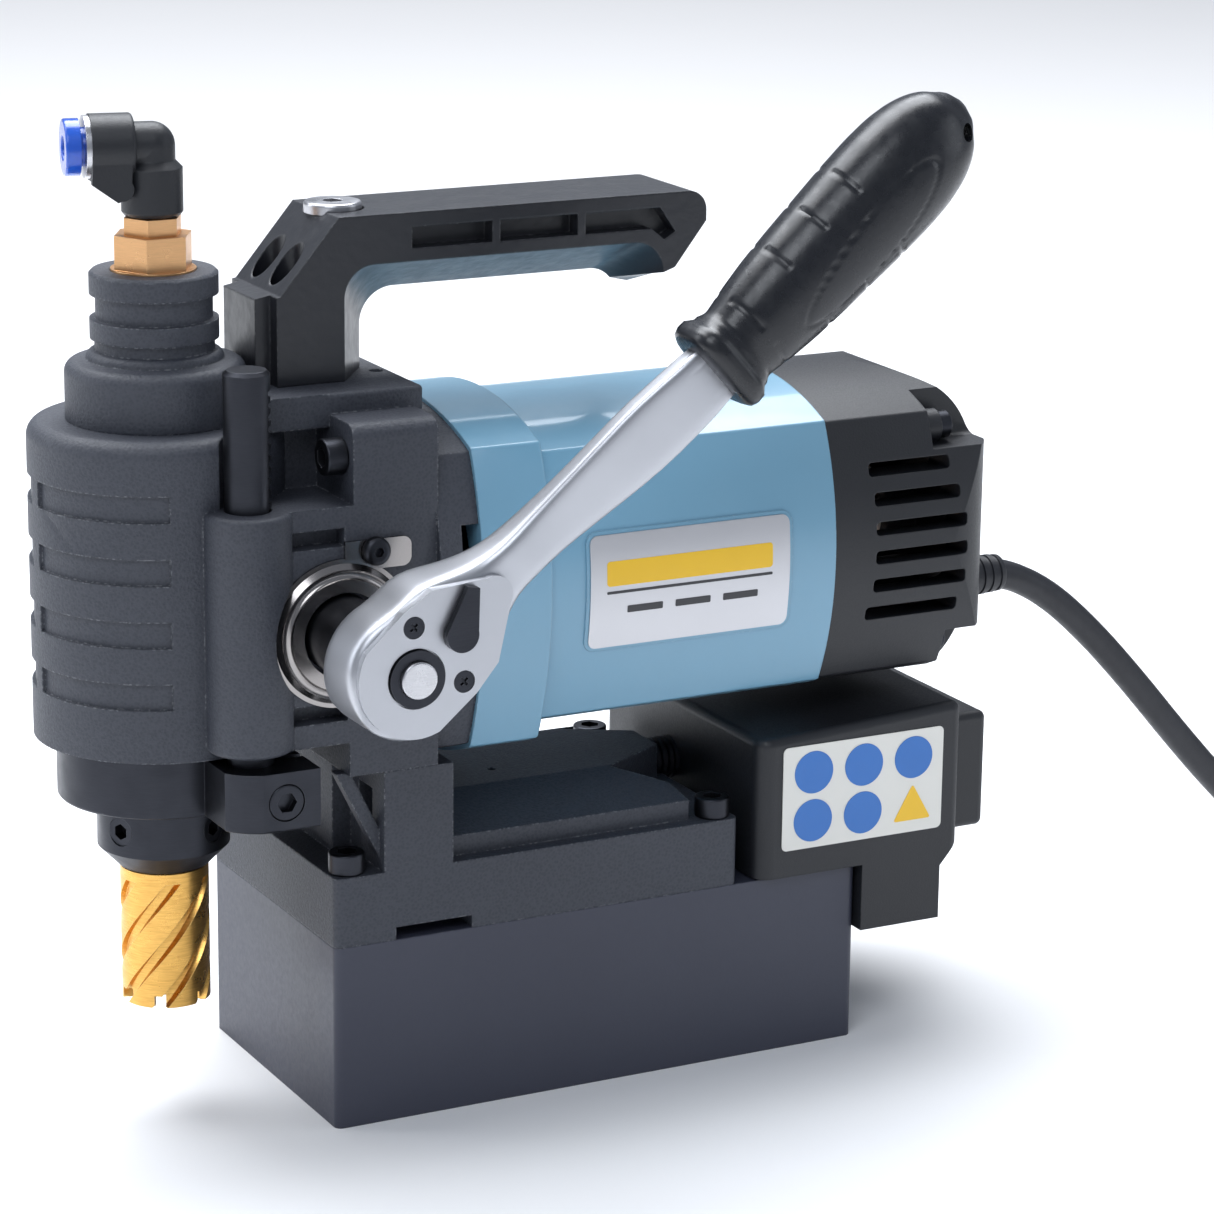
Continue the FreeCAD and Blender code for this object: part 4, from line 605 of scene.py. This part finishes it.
def make_wrench_grip(finishes):
    """Moulded grip: a flanged collar, a waist, sunk outlines and a hanging hole."""
    profile = [(110.2, 8.6), (110.5, 11.4), (111.4, 12.9), (113.2, 13.5), (115.4, 13.4), (116.4, 12.6),
               (117.4, 12.0), (119.5, 11.7), (123, 12.2), (128, 13.1), (136, 14.1), (146, 14.9),
               (158, 15.5), (170, 16.1), (180, 16.3), (188, 15.9), (195, 14.6), (200.5, 12.4),
               (204.8, 9.2), (207.6, 5.6), (209.0, 2.2)]
    smooth = []
    for (x0, r0), (x1, r1) in zip(profile, profile[1:]):
        steps = max(1, int((x1 - x0) / 0.7))
        for step in range(steps):
            x = x0 + (x1 - x0) * step / steps
            smooth.append((x, r0 + (r1 - r0) * step / steps))
    smooth.append(profile[-1])
    averaged = []
    for index, (x, r) in enumerate(smooth):
        near = smooth[max(0, index - 3):index + 4] if 118 < x < 206 else [(x, r)]
        averaged.append((x, sum(item[1] for item in near) / len(near)))
    collar = [(116.0, 3.4), (121.0, 2.15)]
    stations = [(x, GRIP_OFFSET, r, r * 0.805, eased(collar, x) if x > 116 else 3.4) for x, r in averaged]
    grip = drawn_bar("wrench_handgrip", stations, 128)
    close_start(grip)
    for vert in grip.data.vertices:
        across = vert.co.y / MM - GRIP_OFFSET
        up = vert.co.z / MM
        along = vert.co.x / MM
        if 121 < along < 200:
            reach = math.hypot(across, up)
            sunk = grip_relief(along, math.degrees(math.atan2(up, -across)))
            share = 1 - sunk / max(reach, 1.0)
            vert.co.y = (GRIP_OFFSET + across * share) * MM
            vert.co.z = up * share * MM
    carve(grip, 2.4, -110, -80, (203.0, -3.0))
    settle(onto_wrench(grip), finishes["grip_black"], "wrench", ["wrench_grip"], 50)


# ---------------------------------------------------------------- cord boot

def make_cord_boot(finishes):
    """Ribbed, tapered strain relief where the mains cord leaves the motor's end cap."""
    low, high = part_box("cord_boot")
    centre = (low + high) / 2
    axis = (centre.y / MM, centre.z / MM)
    start, reach = 126.0, high.x / MM
    bpy.ops.mesh.primitive_cylinder_add(vertices=48, radius=8.0 * MM, depth=2.0 * MM,
                                        location=(start * MM, axis[0] * MM, axis[1] * MM),
                                        rotation=(0, math.radians(90), 0))
    boot = active_piece("cord_strain_relief")
    bpy.ops.object.transform_apply(location=True, rotation=True, scale=True)
    bpy.ops.object.mode_set(mode="EDIT")
    pick(boot, lambda face: face.normal.x > 0.9)
    place = start + 1.0
    steps = [(0.6, 0.94), (0.3, 0.90)]
    for _ in range(6):
        steps += [(1.6, 1.0), (0.25, 0.90), (0.9, 1.0), (0.25, 1.075)]
    steps += [(1.2, 0.985), (0.5, 0.93)]
    for length, size in steps:
        length = min(length, reach - 0.05 - place)
        if length <= 0:
            break
        place += length
        bpy.ops.mesh.extrude_region_move(TRANSFORM_OT_translate={"value": (length * MM, 0, 0)})
        bpy.ops.transform.resize(value=(1, size, size),
                                 center_override=(place * MM, axis[0] * MM, axis[1] * MM))
    bpy.ops.object.mode_set(mode="OBJECT")
    settle(boot, finishes["cord_rubber"], "machine", ["cord_boot"], 50)


# ---------------------------------------------------------------- labels

def round_card(name, half_width, half_height, radius, thickness):
    """A flat card with rounded corners, lying in the XZ plane with its face towards -Y."""
    bpy.ops.mesh.primitive_plane_add(size=1.0)
    card = active_piece(name)
    card.scale = (2 * half_width, 2 * half_height, 1.0)
    bpy.ops.object.transform_apply(location=False, rotation=False, scale=True)
    apply_modifier(card, "BEVEL", affect="VERTICES", width=radius, segments=6, limit_method="NONE")
    apply_modifier(card, "SOLIDIFY", thickness=thickness, offset=1.0)
    card.rotation_euler = (math.radians(90), 0, 0)
    return card


def disc(name, radius, thickness, sides=48):
    bpy.ops.mesh.primitive_circle_add(vertices=sides, radius=radius, fill_type="NGON")
    made = active_piece(name)
    apply_modifier(made, "SOLIDIFY", thickness=thickness, offset=1.0)
    made.rotation_euler = (math.radians(90), 0, 0)
    return made


def make_box_label(finishes):
    """A blank pale label with plain coloured spots on the control box."""
    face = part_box("control_box")[0].y - 0.05 * MM
    centre = Vector((82.0, 0, 76.4)) * MM
    label = round_card("box_label", 26.6 * MM, 15.4 * MM, 1.6 * MM, 0.25 * MM)
    label.location = (centre.x, face, centre.z)
    settle(label, finishes["card_pale"], "machine")
    spots = [(column, row) for row in (0, 1) for column in (0, 1, 2)]
    for number, (column, row) in enumerate(spots):
        spot_x = centre.x + (column - 1) * 16.6 * MM
        spot_z = centre.z + (7.2 if row == 0 else -7.2) * MM
        if (column, row) == (2, 1):
            bpy.ops.mesh.primitive_circle_add(vertices=3, radius=7.2 * MM, fill_type="NGON")
            mark = active_piece("label_spot_%d" % number)
            apply_modifier(mark, "BEVEL", affect="VERTICES", width=0.9 * MM, segments=4)
            apply_modifier(mark, "SOLIDIFY", thickness=0.15 * MM, offset=1.0)
            mark.rotation_euler = (math.radians(90), 0, 0)
            finish = finishes["card_yellow"]
            spot_z -= 1.0 * MM
        else:
            mark = disc("label_spot_%d" % number, 6.3 * MM, 0.15 * MM)
            finish = finishes["card_blue"]
        mark.location = (spot_x, face - 0.25 * MM, spot_z)
        settle(mark, finish, "machine")


def curved_onto_motor(card, lift):
    """Wrap a flat card onto the bowed near side of the motor."""
    middle, half, bulge = 146.0, 37.7, 8.3
    radius = (half * half + bulge * bulge) / (2 * bulge)
    apply_modifier(card, "TRIANGULATE")
    for vert in card.data.vertices:
        height = vert.co.z / MM - middle
        surface = half + bulge - (radius - math.sqrt(radius * radius - height * height))
        vert.co.y += -(surface + lift) * MM


def motor_card(name, box, radius, thickness, lift, finish):
    low_x, high_x, low_z, high_z = box
    card = round_card(name, (high_x - low_x) / 2 * MM, (high_z - low_z) / 2 * MM, radius * MM,
                      thickness * MM)
    card.location = ((low_x + high_x) / 2 * MM, 0, (low_z + high_z) / 2 * MM)
    deselect()
    card.select_set(True)
    bpy.context.view_layer.objects.active = card
    bpy.ops.object.transform_apply(location=True, rotation=True, scale=True)
    bpy.ops.object.mode_set(mode="EDIT")
    bpy.ops.mesh.select_all(action="SELECT")
    for level in range(9):
        height = low_z + (high_z - low_z) * (level + 1) / 10
        bpy.ops.mesh.select_all(action="SELECT")
        bpy.ops.mesh.bisect(plane_co=(0, 0, height * MM), plane_no=(0, 0, 1))
    bpy.ops.object.mode_set(mode="OBJECT")
    curved_onto_motor(card, lift)
    settle(card, finish, "machine", smooth=30)


PLATE_BORDER = (-8.1, 56.7, 127.3, 161.5)
PLATE_FACE = (-7.0, 55.6, 128.4, 160.4)
PLATE_BAR = (-2.0, 50.0, 146.0, 153.0)
PLATE_RULE = (-2.0, 50.0, 143.8, 144.6)
FIELD_FIRST, FIELD_STEP, FIELD_WIDTH = 4.5, 15.0, 11.0
PRINT_THICKNESS, PRINT_LIFT = 0.9, -0.02


def make_nameplate(finishes):
    """A blank nameplate inside a raised border on the motor's near side, with plain ruled bars."""
    paint, dark = "motor_paint", finishes["card_dark"]
    motor_card("nameplate_border", PLATE_BORDER, 3.4, 0.8, -0.35, finishes[paint])
    motor_card("nameplate", PLATE_FACE, 2.4, 0.9, -0.1, finishes["plate_silver"])
    motor_card("nameplate_bar", PLATE_BAR, 1.0, PRINT_THICKNESS, PRINT_LIFT, finishes["card_yellow"])
    motor_card("nameplate_rule", PLATE_RULE, 0.3, PRINT_THICKNESS, PRINT_LIFT, dark)
    for number in range(3):
        low = FIELD_FIRST + number * FIELD_STEP
        field = (low, low + FIELD_WIDTH, 138.0, 140.0)
        motor_card("nameplate_field_%d" % number, field, 0.3, PRINT_THICKNESS, PRINT_LIFT, dark)


# ---------------------------------------------------------------- studio

def make_floor():
    """A wide pale floor."""
    bpy.ops.mesh.primitive_plane_add(size=14.0, location=(0, 0, 0))
    floor = active_piece("studio_floor")
    finish = Finish("studio_paper", (0.86, 0.86, 0.86), 0.85)
    finish.tint(finish.levels(finish.noise(3, 3), 0.4, 0.7, 0.0, 0.4), (0.84, 0.84, 0.845))
    floor.data.materials.append(finish.material)


def soft_light(name, place, target, size, power, colour=(1, 1, 1)):
    data = bpy.data.lights.new(name, "AREA")
    data.shape = "RECTANGLE"
    data.size, data.size_y = size
    data.energy = power
    data.color = colour
    lamp = bpy.data.objects.new(name, data)
    bpy.context.collection.objects.link(lamp)
    lamp.location = place
    lamp.rotation_euler = (Vector(target) - Vector(place)).to_track_quat("-Z", "Y").to_euler()


def make_studio():
    world = bpy.data.worlds.new("studio_world")
    bpy.context.scene.world = world
    world.use_nodes = True
    background = world.node_tree.nodes["Background"]
    background.inputs["Color"].default_value = (0.80, 0.87, 1.0, 1.0)
    background.inputs["Strength"].default_value = 0.36
    middle = (0.0, 0.0, 0.13)
    soft_light("key_box", (-0.9, -1.1, 1.5), middle, (1.0, 0.8), 12, (0.90, 0.94, 1.0))
    soft_light("side_box", (1.5, -0.9, 0.7), middle, (0.8, 1.2), 3.5, (0.88, 0.93, 1.0))
    soft_light("top_box", (0.05, 0.55, 1.3), middle, (1.5, 0.9), 24, (0.90, 0.94, 1.0))
    soft_light("rim_box", (-1.3, 0.9, 0.8), middle, (0.6, 1.2), 7, (0.90, 0.94, 1.0))
    soft_light("floor_wash", (0.0, 1.2, 2.6), (0.0, 1.6, 0.0), (3.4, 2.4), 75, (0.99, 0.99, 1.0))
    bpy.context.scene.view_settings.view_transform = "Standard"


# ---------------------------------------------------------------- build

make_camera()
FINISHES = make_finishes()
finish_nodes(FINISHES)
make_cord(FINISHES)
make_wrench_body(FINISHES)
make_wrench_grip(FINISHES)
make_cord_boot(FINISHES)
make_box_label(FINISHES)
make_nameplate(FINISHES)
make_floor()
make_studio()
